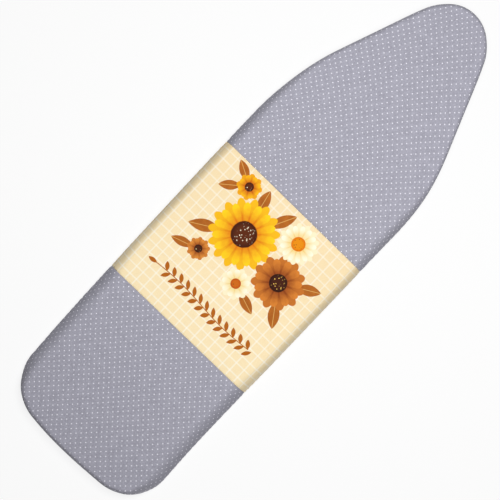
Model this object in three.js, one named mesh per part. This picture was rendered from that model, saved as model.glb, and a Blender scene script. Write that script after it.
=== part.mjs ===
// A padded, elasticated ironing board cover, shaped as it sits on its board.
// The board itself is left out. Sizes are in millimetres. +X runs along the
// cover to the nose, +Y across it and +Z up, and the gathered hem stands on z = 0.
// Outer cloth, foam and felt are nested: each layer is a skin at its own depth
// below the outside of the cover.
import * as THREE from "three";

// The outline, seen from above
const coverLength = 1220;
const coverWidth = 382;
const noseRadius = 88;
const shoulderRadius = 549;
const sideBowRadius = 43800;
const tailCornerRadius = 94.6;
const tailEndRadius = 1355;
const noseTaperDegrees = 20.9;

// Where the checked middle panel is sewn to the two dotted ones
const frontSeamX = 73;
const rearSeamX = -273;
const seamTapeWidth = 22;
const seamTapeThickness = 0.8;

// The layers, and the board that they are made for
const clothThickness = 0.8;
const foamThickness = 4;
const feltThickness = 3;
const boardThickness = 21;
const boardClearance = 0.5;
const touchGap = 0.3;

// How the cover rolls over the board's edge and grips it underneath
const edgeRollReach = 27;
const noseRollReach = 12;
const edgeRollDrop = 17;
const underCurveRadius = 8;
const lipReach = 50;
const foamRimHeight = 23;

// The gathered casing at the edge of the cloth, and the elastic inside it
const casingWidth = 14;
const casingHeight = 11;
const casingWall = 0.9;
const casingMouthWidth = 44;
const elasticHeight = 5;
const elasticThickness = 1.2;
const elasticOverlap = 28;
const elasticCrossover = 14;

// The three hook and loop straps across the underside
const strapNames = ["front", "middle", "rear"];
const frontStrapX = 120;
const strapSpacing = 240;
const strapWidth = 25;
const strapThickness = 1.5;
const strapOverlap = 64;
const patchLength = 56;
const patchWidth = 22;
const patchThickness = 1;

// The bare care label sewn under the lip
const labelLength = 30;
const labelWidth = 20;
const labelThickness = 0.5;
const labelX = -440;
const labelInset = 14;

// How finely the round stretches are stepped
const endSteps = 2;
const cornerSteps = 12;
const sideSteps = 5;
const shoulderSteps = 6;
const noseSteps = 14;
const rollSteps = 7;
const underSteps = 3;
const casingSides = 12;

// Heights, from the hem up
const lipHeight = casingHeight + touchGap;
const lipTop = lipHeight + clothThickness;
const boardBottom = lipTop + seamTapeThickness + 2 * touchGap;
const feltBottom = boardBottom + boardThickness + boardClearance;

// Depths below the outside of the cover
const foamDepth = clothThickness + touchGap;
const feltDepth = foamDepth + foamThickness + touchGap;
const tapeDepth = clothThickness + touchGap;
const grooveDepth = tapeDepth + seamTapeThickness + touchGap;
const coverHeight = feltBottom + feltDepth + feltThickness;

const dottedCloth = { color: 0xaeacbd, roughness: 0.92, metalness: 0 };
const checkedCloth = { color: 0xf7e2b4, roughness: 0.92, metalness: 0 };
const bindingTape = { color: 0x9c9aa8, roughness: 0.9, metalness: 0 };
const paddingFoam = { color: 0xe9e4d2, roughness: 1, metalness: 0 };
const woolFelt = { color: 0xcfcac0, roughness: 1, metalness: 0 };
const whiteElastic = { color: 0xe8e6e0, roughness: 0.85, metalness: 0 };
const strapWebbing = { color: 0x3c3b42, roughness: 0.85, metalness: 0 };
const fastenerTape = { color: 0x2b2a30, roughness: 0.8, metalness: 0 };
const labelSatin = { color: 0xf3f1ea, roughness: 0.6, metalness: 0 };

const cover = new THREE.Group();

function addPiece(name, geometry, look, parent = cover) {
  const mesh = new THREE.Mesh(geometry, new THREE.MeshStandardMaterial(look));
  mesh.name = name;
  parent.add(mesh);
  return mesh;
}

// Centres and joining angles of the arcs that make half of the outline.
// An angle is that of the outward normal: 180 degrees at the tail, 0 at the nose.
function outlineArcs() {
  const taper = THREE.MathUtils.degToRad(noseTaperDegrees);
  const halfLength = coverLength / 2;
  const halfWidth = coverWidth / 2;
  const noseX = halfLength - noseRadius;
  const taperDrop = halfWidth - shoulderRadius + (shoulderRadius - noseRadius) * Math.cos(taper);
  const taperLength = taperDrop / Math.sin(taper);
  const shoulderX = noseX - (shoulderRadius - noseRadius) * Math.sin(taper) - taperLength * Math.cos(taper);
  const shoulder = { x: shoulderX, y: halfWidth - shoulderRadius, radius: shoulderRadius };
  const nose = { x: noseX, y: 0, radius: noseRadius };
  const side = { x: shoulderX, y: halfWidth - sideBowRadius, radius: sideBowRadius };
  const end = { x: tailEndRadius - halfLength, y: 0, radius: tailEndRadius };

  // The corner arc touches the side arc and the end arc from inside
  const fromSide = sideBowRadius - tailCornerRadius;
  const fromEnd = tailEndRadius - tailCornerRadius;
  const apart = Math.hypot(end.x - side.x, end.y - side.y);
  const along = (fromSide ** 2 - fromEnd ** 2 + apart ** 2) / (2 * apart);
  const across = Math.sqrt(fromSide ** 2 - along ** 2);
  const ux = (end.x - side.x) / apart;
  const uy = (end.y - side.y) / apart;
  const corner = {
    x: side.x + along * ux - across * Math.abs(uy),
    y: side.y + along * uy + across * ux * Math.sign(uy),
    radius: tailCornerRadius,
  };
  return {
    end, corner, side, shoulder, nose,
    endToCorner: Math.atan2(corner.y - end.y, corner.x - end.x),
    cornerToSide: Math.atan2(corner.y - side.y, corner.x - side.x),
    taperAngle: Math.PI / 2 - taper,
  };
}

const arcs = outlineArcs();

// How far in from the outline the edge roll starts. It tightens along the shoulder.
function rollReachAt(angle) {
  const turned = (Math.PI / 2 - angle) / (Math.PI / 2 - arcs.taperAngle);
  return THREE.MathUtils.lerp(edgeRollReach, noseRollReach, THREE.MathUtils.smoothstep(turned, 0, 1));
}

function stationOn(arc, angle) {
  const nx = Math.cos(angle);
  const ny = Math.sin(angle);
  return { x: arc.x + arc.radius * nx, y: arc.y + arc.radius * ny, nx, ny, reach: rollReachAt(angle) };
}

// The station on the long side arc at a given x
function sideStation(x) {
  return stationOn(arcs.side, Math.acos((x - arcs.side.x) / arcs.side.radius));
}

function arcStations(arc, from, to, steps) {
  const stations = [];
  for (let i = 0; i <= steps; i += 1) {
    stations.push(stationOn(arc, THREE.MathUtils.lerp(from, to, i / steps)));
  }
  return stations;
}

// Half of the outline, from the middle of the tail round the left to the tip of the nose
function halfOutline() {
  const tail = arcStations(arcs.end, Math.PI, arcs.endToCorner, endSteps);
  const corner = arcStations(arcs.corner, arcs.endToCorner, arcs.cornerToSide, cornerSteps);
  const side = arcStations(arcs.side, arcs.cornerToSide, Math.PI / 2, sideSteps);
  const shoulder = arcStations(arcs.shoulder, Math.PI / 2, arcs.taperAngle, shoulderSteps);
  const nose = arcStations(arcs.nose, arcs.taperAngle, 0, noseSteps);
  const tips = [...tail, ...corner.slice(1), ...side.slice(1), ...shoulder.slice(1), ...nose];
  tips[0].y = 0;
  tips[0].ny = 0;
  tips[tips.length - 1].y = 0;
  tips[tips.length - 1].ny = 0;
  return tips;
}

const outline = halfOutline();

// The stations of the stretch from one x to another; a cut end gets a station of its own
function stationsBetween(fromX, toX) {
  const inside = outline.filter((station) => station.x > fromX && station.x < toX);
  const first = fromX > -coverLength / 2 ? [sideStation(fromX)] : [outline[0]];
  const last = toX < coverLength / 2 ? [sideStation(toX)] : [outline[outline.length - 1]];
  return [...first, ...inside, ...last];
}

// Joins rings of points into one closed body. Points that coincide are welded, so
// a ring that folds flat on itself, as at the tip of the nose, closes the surface.
function loftGeometry(rings, capped, closed = false) {
  const positions = [];
  const known = new Map();
  const indices = [];
  const index = (point) => {
    const key = point.map((value) => Math.round(value * 1e5)).join(",");
    if (!known.has(key)) {
      known.set(key, positions.length / 3);
      positions.push(...point);
    }
    return known.get(key);
  };
  const triangle = (a, b, c) => {
    if (a !== b && b !== c && c !== a) {
      indices.push(a, b, c);
    }
  };
  const quad = (a, b, c, d) => {
    triangle(a, b, c);
    triangle(a, c, d);
  };
  const ids = rings.map((ring) => ring.map(index));
  const size = ids[0].length;
  const joins = closed ? ids.length : ids.length - 1;
  for (let k = 0; k < joins; k += 1) {
    const here = ids[k];
    const next = ids[(k + 1) % ids.length];
    for (let j = 0; j < size; j += 1) {
      const after = (j + 1) % size;
      quad(here[j], here[after], next[after], next[j]);
    }
  }
  // A capped ring lists its outer points and then its inner ones in return order
  const cap = (ring, forward) => {
    for (let j = 0; j < size / 2 - 1; j += 1) {
      const corners = [ring[j], ring[size - 1 - j], ring[size - 2 - j], ring[j + 1]];
      quad(...(forward ? corners : corners.reverse()));
    }
  };
  if (capped[0]) {
    cap(ids[0], true);
  }
  if (capped[1]) {
    cap(ids[ids.length - 1], false);
  }
  const geometry = new THREE.BufferGeometry();
  geometry.setAttribute("position", new THREE.Float32BufferAttribute(positions, 3));
  geometry.setIndex(signedVolume(positions, indices) < 0 ? flipped(indices) : indices);
  geometry.computeVertexNormals();
  return geometry;
}

function signedVolume(positions, indices) {
  const corner = (i) => new THREE.Vector3().fromArray(positions, 3 * indices[i]);
  let volume = 0;
  for (let i = 0; i < indices.length; i += 3) {
    volume += corner(i).dot(corner(i + 1).cross(corner(i + 2)));
  }
  return volume;
}

function flipped(indices) {
  const turned = [];
  for (let i = 0; i < indices.length; i += 3) {
    turned.push(indices[i], indices[i + 2], indices[i + 1]);
  }
  return turned;
}

// One side of a layer's section at a depth below the outside: from the flat top out
// over the edge roll and down the side. It gives steps inward from the outline, and z.
function rimProfile(depth, reach, bottom) {
  const rollCentre = coverHeight - edgeRollDrop;
  const points = [];
  for (let i = 0; i <= rollSteps; i += 1) {
    const angle = (Math.PI / 2) * (i / rollSteps);
    points.push({
      inward: reach - (reach - depth) * Math.sin(angle),
      z: rollCentre + (edgeRollDrop - depth) * Math.cos(angle),
    });
  }
  points.push({ inward: depth, z: bottom });
  return points;
}

// The same, carried on round the under curve to the edge of the lip below the board
function wrapProfile(depth, reach) {
  const points = rimProfile(depth, reach, lipHeight + underCurveRadius);
  const radius = underCurveRadius - depth;
  for (let i = 1; i <= underSteps; i += 1) {
    const angle = (Math.PI / 2) * (i / underSteps);
    points.push({
      inward: underCurveRadius - radius * Math.cos(angle),
      z: lipHeight + underCurveRadius - radius * Math.sin(angle),
    });
  }
  points.push({ inward: lipReach, z: lipHeight + depth });
  return points;
}

// A whole section from the right edge over the top to the left edge
function sectionAcross(station, profile) {
  const left = profile.map(({ inward, z }) => [
    station.x - inward * station.nx,
    station.y - inward * station.ny,
    z,
  ]);
  const right = left.map(([x, y, z]) => [x, -y, z]);
  return [...right.reverse(), ...left];
}

// A layer of the cover between two depths, over the given stations.
// Each station may carry its own outer depth.
function layerGeometry(stations, outerDepth, innerDepth, profile) {
  const rings = stations.map((station) => {
    const depth = station.outerDepth ?? outerDepth;
    const outer = sectionAcross(station, profile(depth, station.reach));
    const inner = sectionAcross(station, profile(innerDepth, station.reach));
    return [...outer, ...inner.reverse()];
  });
  const first = stations[0].ny !== 0;
  const last = stations[stations.length - 1].ny !== 0;
  return loftGeometry(rings, [first, last]);
}

function addPanels() {
  const tailEnd = -coverLength / 2;
  const noseEnd = coverLength / 2;
  const half = touchGap / 2;
  const panels = [
    ["tail_panel", tailEnd, rearSeamX - half, dottedCloth],
    ["middle_panel", rearSeamX + half, frontSeamX - half, checkedCloth],
    ["nose_panel", frontSeamX + half, noseEnd, dottedCloth],
  ];
  for (const [name, fromX, toX, look] of panels) {
    const stations = stationsBetween(fromX, toX);
    addPiece(name, layerGeometry(stations, 0, clothThickness, wrapProfile), look);
  }
}

function addSeamTapes() {
  const innerDepth = tapeDepth + seamTapeThickness;
  for (const [name, x] of [["rear_seam_tape", rearSeamX], ["front_seam_tape", frontSeamX]]) {
    const stations = stationsBetween(x - seamTapeWidth / 2, x + seamTapeWidth / 2);
    addPiece(name, layerGeometry(stations, tapeDepth, innerDepth, wrapProfile), bindingTape);
  }
}

// The foam is pressed in where the two seam tapes cross it
function foamStations() {
  const edge = seamTapeWidth / 2 + touchGap;
  const shoulder = edge + seamTapeThickness;
  const stations = stationsBetween(-coverLength / 2, coverLength / 2);
  for (const seamX of [rearSeamX, frontSeamX]) {
    for (const step of [-shoulder, -edge, edge, shoulder]) {
      stations.push(sideStation(seamX + step));
    }
  }
  const relieved = stations.map((station) => {
    const fromSeam = Math.min(Math.abs(station.x - rearSeamX), Math.abs(station.x - frontSeamX));
    const risenShare = THREE.MathUtils.clamp((fromSeam - edge) / seamTapeThickness, 0, 1);
    return { ...station, outerDepth: THREE.MathUtils.lerp(grooveDepth, foamDepth, risenShare) };
  });
  return relieved.sort((a, b) => a.x - b.x);
}

// The foam follows the cloth over the edge. The felt is cut to the flat of the board.
function addPadding() {
  const foamProfile = (depth, reach) => rimProfile(depth, reach, foamRimHeight);
  const feltProfile = (depth, reach) => [{ inward: reach, z: coverHeight - depth }];
  const foamInner = foamDepth + foamThickness;
  const feltInner = feltDepth + feltThickness;
  addPiece("foam_layer", layerGeometry(foamStations(), foamDepth, foamInner, foamProfile), paddingFoam);
  const feltStations = stationsBetween(-coverLength / 2, coverLength / 2);
  addPiece("felt_layer", layerGeometry(feltStations, feltDepth, feltInner, feltProfile), woolFelt);
}

// The tail's outline station whose hem, at an inset, lies at a given y
function tailStation(y, inset) {
  return stationOn(arcs.end, Math.PI - Math.asin(y / (arcs.end.radius - inset)));
}

// Stations all round the hem, from one y at the tail round the left side and the nose
// and back along the right side to the mirrored y
function hemStations(startY, inset) {
  const start = tailStation(startY, inset);
  const left = [start, ...outline.filter((station) => station.ny > start.ny)];
  left.push(outline[outline.length - 1]);
  const right = left.slice(0, -1).map((station) => ({ ...station, y: -station.y, ny: -station.ny }));
  return [...left, ...right.reverse()];
}

// The casing's flats lie on an oval, so its edges stand a little outside it
const casingBulge = 1 / Math.cos(Math.PI / casingSides);

// The casing is an oval tube of gathered cloth, open at the tail
function addCasing() {
  const zCentre = casingHeight / 2;
  const oval = (station, halfWidth, halfHeight) => {
    const points = [];
    for (let i = 0; i < casingSides; i += 1) {
      const angle = 2 * Math.PI * (i + 1 / 2) / casingSides;
      const inward = lipReach + halfWidth * casingBulge * Math.cos(angle);
      points.push([
        station.x - inward * station.nx,
        station.y - inward * station.ny,
        zCentre + halfHeight * casingBulge * Math.sin(angle),
      ]);
    }
    return points;
  };
  const stations = hemStations(casingMouthWidth / 2, lipReach);
  const outer = stations.map((station) => oval(station, casingWidth / 2, casingHeight / 2));
  const inner = stations.map((station) => oval(
    station,
    casingWidth / 2 - casingWall,
    casingHeight / 2 - casingWall,
  ));
  addPiece("hem_casing", loftGeometry([...outer, ...inner.reverse()], [false, false], true), dottedCloth);
}

// The flat elastic bears on the casing's inner side. Its ends lap in the open mouth:
// the last stretch steps one thickness further in and runs beside the first.
function addElastic() {
  const zCentre = casingHeight / 2;
  const boreHalfWidth = casingWidth / 2 - casingWall;
  const boreHalfHeight = casingHeight / 2 - casingWall;
  const boreAtEdge = boreHalfWidth * Math.sqrt(1 - (elasticHeight / 2 / boreHalfHeight) ** 2);
  const outerInset = lipReach + boreAtEdge - 2 * (touchGap + elasticThickness);
  const lappedInset = outerInset + elasticThickness + touchGap;
  const strip = (station, inset) => {
    const corners = [[0, -1], [elasticThickness, -1], [elasticThickness, 1], [0, 1]];
    return corners.map(([across, up]) => [
      station.x - (inset + across) * station.nx,
      station.y - (inset + across) * station.ny,
      zCentre + up * elasticHeight / 2,
    ]);
  };
  const mirrored = (station) => ({ ...station, y: -station.y, ny: -station.ny });
  const lap = elasticOverlap / 2;
  const first = strip(mirrored(tailStation(lap, outerInset)), outerInset);
  const round = hemStations(lap + elasticCrossover, outerInset).map((station) => strip(station, outerInset));
  const crossed = strip(mirrored(tailStation(lap, lappedInset)), lappedInset);
  const last = strip(tailStation(lap, lappedInset), lappedInset);
  addPiece("hem_elastic", loftGeometry([first, ...round, crossed, last], [true, true]), whiteElastic);
}

// Turns a shape drawn in y and z into a piece of the given width along x
function extrudeAlongX(shape, width) {
  const geometry = new THREE.ExtrudeGeometry(shape, { depth: width, bevelEnabled: false, curveSegments: 4 });
  const turn = new THREE.Matrix4().makeBasis(
    new THREE.Vector3(0, 1, 0),
    new THREE.Vector3(0, 0, 1),
    new THREE.Vector3(1, 0, 0),
  );
  geometry.applyMatrix4(turn);
  geometry.translate(-width / 2, 0, 0);
  return geometry;
}

// One strap half. It is drawn from its sewn, round root at the origin along +Y or -Y.
function strapGeometry(length, direction) {
  const half = strapThickness / 2;
  const shape = new THREE.Shape();
  shape.moveTo(direction * length, half);
  shape.lineTo(0, half);
  shape.absarc(0, 0, half, Math.PI / 2, -Math.PI / 2, direction > 0 ? false : true);
  shape.lineTo(direction * length, -half);
  shape.closePath();
  return extrudeAlongX(shape, strapWidth);
}

// How far the casing's inner flank stands out from its middle at a given height
function casingFlank(z) {
  const rise = (2 * z - casingHeight) / (casingHeight * casingBulge);
  return casingWidth / 2 * Math.min(1, casingBulge * Math.sqrt(1 - rise ** 2));
}

// The hook half hangs on the right of the hem and laps under the loop half on the left
function addStraps() {
  const stack = 2 * strapThickness + 2 * patchThickness + 3 * touchGap;
  const hookStrapZ = (casingHeight - stack + strapThickness) / 2;
  const hookPatchZ = hookStrapZ + (strapThickness + patchThickness) / 2 + touchGap;
  const loopPatchZ = hookPatchZ + patchThickness + touchGap;
  const loopStrapZ = loopPatchZ + (strapThickness + patchThickness) / 2 + touchGap;
  strapNames.forEach((name, i) => {
    const x = frontStrapX - i * strapSpacing;
    const hemY = sideStation(x - strapWidth / 2).y - lipReach;
    const rootY = (z) => hemY - casingFlank(z) - touchGap - strapThickness / 2;
    const halves = [
      ["hook", -1, hookStrapZ, hookPatchZ, fastenerTape],
      ["loop", 1, loopStrapZ, loopPatchZ, fastenerTape],
    ];
    for (const [kind, side, strapZ, patchZ, look] of halves) {
      const length = rootY(strapZ) + strapOverlap / 2;
      const strap = addPiece(`${name}_${kind}_strap`, strapGeometry(length, -side), strapWebbing);
      strap.position.set(x, side * rootY(strapZ), strapZ);
      const patch = new THREE.BoxGeometry(patchWidth, patchLength, patchThickness);
      addPiece(`${name}_${kind}_patch`, patch, look).position.set(x, 0, patchZ);
    }
  });
}

function addLabel() {
  const label = new THREE.BoxGeometry(labelLength, labelWidth, labelThickness);
  const y = sideStation(labelX).y - labelInset - labelWidth / 2;
  const z = lipHeight - touchGap - labelThickness / 2;
  addPiece("care_label", label, labelSatin).position.set(labelX, y, z);
}

addPanels();
addSeamTapes();
addPadding();
addCasing();
addElastic();
addStraps();
addLabel();

export default cover;
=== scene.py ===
# %% [markdown]
# # An ironing board cover
#
# This lesson dresses a padded, elasticated ironing board cover. The real thing is printed cotton over a
# foam layer and a felt, sewn from three panels, with a gathered hem that grips the board from below and
# three hook and loop straps across the underside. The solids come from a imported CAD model, so the first
# step loads that model as a fixed frame. Everything is in metres, with the nose towards +X.

# %% Load the frame
import math
import bmesh
import bpy
import numpy as np
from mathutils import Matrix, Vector


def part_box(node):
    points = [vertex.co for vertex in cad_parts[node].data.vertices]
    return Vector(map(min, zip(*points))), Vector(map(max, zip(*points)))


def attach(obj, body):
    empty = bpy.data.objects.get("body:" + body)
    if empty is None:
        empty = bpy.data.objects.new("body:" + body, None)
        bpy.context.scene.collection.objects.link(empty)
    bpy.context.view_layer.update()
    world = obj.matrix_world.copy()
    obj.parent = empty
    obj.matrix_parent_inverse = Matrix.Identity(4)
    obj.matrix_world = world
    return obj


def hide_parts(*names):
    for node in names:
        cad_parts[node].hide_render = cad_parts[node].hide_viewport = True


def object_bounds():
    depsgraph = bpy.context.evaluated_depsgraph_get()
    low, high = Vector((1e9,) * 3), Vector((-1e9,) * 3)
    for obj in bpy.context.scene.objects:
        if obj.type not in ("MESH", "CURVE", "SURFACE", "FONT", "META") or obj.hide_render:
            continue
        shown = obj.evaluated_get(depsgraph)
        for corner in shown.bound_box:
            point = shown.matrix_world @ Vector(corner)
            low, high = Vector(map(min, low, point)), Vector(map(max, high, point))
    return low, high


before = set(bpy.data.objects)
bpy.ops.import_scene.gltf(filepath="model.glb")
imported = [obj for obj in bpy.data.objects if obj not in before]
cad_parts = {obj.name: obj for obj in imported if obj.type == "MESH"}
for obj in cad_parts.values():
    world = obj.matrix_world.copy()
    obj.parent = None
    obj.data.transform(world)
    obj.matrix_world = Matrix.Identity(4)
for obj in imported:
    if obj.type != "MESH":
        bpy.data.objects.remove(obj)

solid_box = [list(corner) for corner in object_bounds()]
mm = 0.001
print("solid model spans, in mm", [round(v / mm, 1) for corner in solid_box for v in corner])

# %% [markdown]
# The cover is looked at from straight above, turned so that the nose points up and to the right. A long
# lens keeps the two ends the same size. An orthographic camera could do it too, but a real one stands
# about three metres away, and the small widening of the raised top is part of how the cover looks.

# %% Camera
focal_length, film_width = 100, 36
camera_place, camera_turn = (-52.3 * mm, 3.5 * mm, 2858.5 * mm), math.radians(-46.75)
camera = bpy.data.objects.new("camera", bpy.data.cameras.new("camera"))
camera.data.lens, camera.data.sensor_width = focal_length, film_width
camera.location, camera.rotation_euler = camera_place, (0, 0, camera_turn)
scene = bpy.context.scene
scene.collection.objects.link(camera)
scene.camera = camera
print("camera height", round(camera.location.z, 3), "m")

# %% [markdown]
# Catalogue pictures of flat goods are often taken on a light table. One large soft box hangs overhead,
# here a little towards the nose, which is why the nose is paler, and the cloth darkens where it rolls over
# at the edge, because it turns away from the box. Two lamps low at the sides lift the upright edge and the
# underside. One is stronger, so that the folds of the gathered hem show. A ring of small lamps could do the
# same, but three and a dim room are easier to balance.

# %% Light
scene.view_settings.view_transform = "Standard"
room_light = 0.13
world = bpy.data.worlds.new("studio")
world.use_nodes = True
scene.world = world


def soft_box(name, place, aim, size, power):
    """A square lamp: its place, what it faces and its side in metres, its power in watts."""
    lamp = bpy.data.lights.new(name, "AREA")
    lamp.shape, lamp.size, lamp.energy = "SQUARE", size, power
    made = bpy.data.objects.new(name, lamp)
    made.location = place
    made.rotation_euler = (Vector(aim) - Vector(place)).to_track_quat("-Z", "Y").to_euler()
    made.visible_camera = False
    scene.collection.objects.link(made)


soft_box("key_box", place=(0.25, -0.06, 1.85), aim=(0.25, -0.06, 0.0), size=0.9, power=35)
soft_box("low_box_tail", place=(-1.3, -0.85, -1.3), aim=(-0.1, -0.05, 0.0), size=1.0, power=38)
soft_box("low_box_nose", place=(1.0, 1.0, -1.35), aim=(0.1, 0.05, 0.0), size=1.0, power=14)
print("one soft box overhead and two below, room light", room_light)

# %% [markdown]
# Every finish below is a tree of shader nodes. Placing each node by hand makes long code, so a small
# class stands for a value in such a tree: ordinary sums on it make the Math nodes. The other helpers
# add a node with its inputs, mix two colours and lay a grain. Geometry Nodes are built with them too.

# %% Shader sums
class Field:
    """A value in a tree of nodes. Sums on it make Math nodes."""

    def __init__(self, tree, socket):
        self.tree, self.socket = tree, socket

    def sum(self, operation, *others):
        made = self.tree.nodes.new("ShaderNodeMath")
        made.operation = operation
        for place, value in enumerate((self, *others)):
            plug(self.tree, value, made.inputs[place])
        return Field(self.tree, made.outputs[0])

    def __add__(self, other):
        return self.sum("ADD", other)

    def __sub__(self, other):
        return self.sum("SUBTRACT", other)

    def __mul__(self, other):
        return self.sum("MULTIPLY", other)

    def __truediv__(self, other):
        return self.sum("DIVIDE", other)

    def inverse(self):
        """1 where the value is 0, and 0 where it is 1."""
        return self.sum("MULTIPLY_ADD", -1.0, 1.0)

    def rise(self, low, high):
        """0 below low, 1 above high, and a smooth step between."""
        step = {"Value": self, "From Min": low, "From Max": high}
        return field(self.tree, "ShaderNodeMapRange", step, "Result", interpolation_type="SMOOTHSTEP")

    def ripple(self, pitch):
        """A wave from 0 to 1 that comes back after each pitch."""
        return (self * (2 * math.pi / pitch)).sum("SINE") * 0.5 + 0.5


def plug(tree, value, socket):
    """Sets a socket, or links a field to it."""
    if isinstance(value, Field):
        tree.links.new(value.socket, socket)
    else:
        socket.default_value = value


def put(tree, kind, inputs=None, **settings):
    """A new node, its settings first and then its inputs."""
    made = tree.nodes.new(kind)
    for name, value in settings.items():
        setattr(made, name, value)
    for name, value in (inputs or {}).items():
        plug(tree, value, made.inputs[name])
    return made


def field(tree, kind, inputs=None, output=0, **settings):
    """One output of a new node."""
    return Field(tree, put(tree, kind, inputs, **settings).outputs[output])


def mix(tree, share, one, other, way="MIX"):
    return field(tree, "ShaderNodeMix", {0: share, 6: one, 7: other}, 2, data_type="RGBA", blend_type=way)


def grain(tree, place, scale, detail=2.0, rough=0.5):
    texture = {"Vector": place, "Scale": scale, "Detail": detail, "Roughness": rough}
    return field(tree, "ShaderNodeTexNoise", texture, "Fac")


print("node helpers ready")

# %% [markdown]
# A finish starts from the general surface shader, which serves cotton, felt and webbing alike. It could be
# left at one flat colour, but cloth is known by its small changes: a paint mixed from two tones, and a
# relief that the light picks up. Where a point lies is read on the object itself or, on cloth, on a map
# that follows the threads.

# %% Colours and finishes
def colour(red, green, blue):
    """A colour as a picture gives it, 0 to 255, turned to the linear values that shaders use."""
    steps = [v / 255 for v in (red, green, blue)]
    return tuple(s / 12.92 if s <= 0.04045 else ((s + 0.055) / 1.055) ** 2.4 for s in steps) + (1.0,)


def two_tones(tree, share, dark, pale):
    return mix(tree, share, colour(*dark), colour(*pale))


def start_finish(name, roughness, sheen, shine):
    material = bpy.data.materials.new(name)
    material.use_nodes = True
    surface = material.node_tree.nodes["Principled BSDF"]
    surface.inputs["Roughness"].default_value = roughness
    surface.inputs["Sheen Weight"].default_value = sheen
    surface.inputs["Specular IOR Level"].default_value = shine
    return material, material.node_tree, surface


def end_finish(tree, surface, paint, relief, height, strength):
    """Gives the surface its paint, and its relief from a value of 0 to 1 and a height."""
    plug(tree, paint, surface.inputs["Base Color"])
    bump = {"Strength": strength, "Distance": height, "Height": relief}
    plug(tree, field(tree, "ShaderNodeBump", bump, "Normal"), surface.inputs["Normal"])


def object_place(tree):
    return field(tree, "ShaderNodeTexCoord", output="Object")


def map_place(tree, name):
    return field(tree, "ShaderNodeUVMap", output="UV", uv_map=name)


def split(tree, place):
    made = put(tree, "ShaderNodeSeparateXYZ", {"Vector": place})
    return [Field(tree, made.outputs[axis]) for axis in "XYZ"]


def woven(tree, across, along, pitch):
    """Plain weave: threads that pass over and under each other, as a height from 0 to 1."""
    turns = 2 * math.pi / pitch
    over = (across * turns).sum("SINE") * (along * turns).sum("SINE")
    return over * 0.5 + 0.5


print("finish helpers ready")

# %% [markdown]
# The floor comes first because it shows how a finish is made. It is the pale plate of the light table,
# partly lit for the camera alone, so that it reads as the white of the picture and still takes a shadow.
# It is clear from below, to light that bounces and to shadow rays, so the two lamps under it reach the
# cover. Clear glass could do that too, but it would mirror the room.

# %% Floor
floor_half, floor_drop, floor_glow = 12.0, 0.4 * mm, 0.84
floor_colour, white = colour(240, 240, 240), (1, 1, 1, 1)
corners = [(x * floor_half, y * floor_half, -floor_drop) for x, y in ((-1, -1), (1, -1), (1, 1), (-1, 1))]
floor_mesh = bpy.data.meshes.new("floor")
floor_mesh.from_pydata(corners, [], [(0, 1, 2, 3)])
floor = bpy.data.objects.new("floor", floor_mesh)
scene.collection.objects.link(floor)


def ray_is(tree, *kinds):
    """1 for a ray of one of these kinds, 0 for any other."""
    path = put(tree, "ShaderNodeLightPath")
    first, *others = [Field(tree, path.outputs[f"Is {kind} Ray"]) for kind in kinds]
    for ray in others:
        first = first.sum("MAXIMUM", ray)
    return first


floor_finish, tree, surface = start_finish("floor_paint", roughness=1.0, sheen=0.0, shine=0.0)
surface.inputs["Base Color"].default_value = floor_colour
glow = field(tree, "ShaderNodeEmission", {"Color": white, "Strength": 1.0})
seen = ray_is(tree, "Camera", "Glossy", "Transmission")
paint = Field(tree, surface.outputs["BSDF"])
plate = field(tree, "ShaderNodeMixShader", {0: seen * floor_glow, 1: paint, 2: glow})
from_below = field(tree, "ShaderNodeNewGeometry", output="Backfacing")
passing = from_below.sum("MAXIMUM", ray_is(tree, "Diffuse", "Shadow"))
clear = field(tree, "ShaderNodeBsdfTransparent")
whole = field(tree, "ShaderNodeMixShader", {0: passing, 1: plate, 2: clear})
plug(tree, whole, tree.nodes["Material Output"].inputs["Surface"])
floor_mesh.materials.append(floor_finish)

tree = world.node_tree
backdrop = tree.nodes["Background"]
backdrop.inputs["Color"].default_value = white
seen = ray_is(tree, "Camera", "Glossy", "Transmission")
plug(tree, seen.sum("MULTIPLY_ADD", 1.0 - room_light, room_light), backdrop.inputs["Strength"])
print("floor is", 2 * floor_half, "m wide")

# %% [markdown]
# The cover's outline is a chain of arcs: a hardly curved tail, round tail corners, a long side that bows
# a few millimetres, a shoulder, a straight taper and the round nose. The outline could be drawn by hand
# with a curve, but the arcs keep it exactly where the solid's outline is. Each station on it knows its
# place, which way is outward, how wide the edge roll is there, and how far round the cover it lies.

# %% Outline
cover_length, cover_width, cover_height = (round(high - low, 4) for low, high in zip(*solid_box))
nose_radius, shoulder_radius, side_bow_radius = 88 * mm, 549 * mm, 43800 * mm
corner_radius, tail_radius = 94.6 * mm, 1355 * mm
nose_taper = math.radians(20.9)
front_seam, rear_seam = 73 * mm, -273 * mm
hair, same_place = 0.01 * mm, 0.05 * mm

nose_x = cover_length / 2 - nose_radius
taper_drop = cover_width / 2 - shoulder_radius + (shoulder_radius - nose_radius) * math.cos(nose_taper)
taper_run = taper_drop / math.sin(nose_taper)
shoulder_x = nose_x - (shoulder_radius - nose_radius) * math.sin(nose_taper)
shoulder_x -= taper_run * math.cos(nose_taper)
tail = Vector((tail_radius - cover_length / 2, 0))
side = Vector((shoulder_x, cover_width / 2 - side_bow_radius))


def crossing(one, from_one, other, from_other):
    """The outer one of the two places that lie at the given distances from two others."""
    apart = (other - one).length
    near = (from_one ** 2 - from_other ** 2 + apart ** 2) / (2 * apart)
    off = math.sqrt(from_one ** 2 - near ** 2)
    line = (other - one) / apart
    return one + near * line + off * Vector((-abs(line.y), line.x * math.copysign(1, line.y)))


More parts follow.
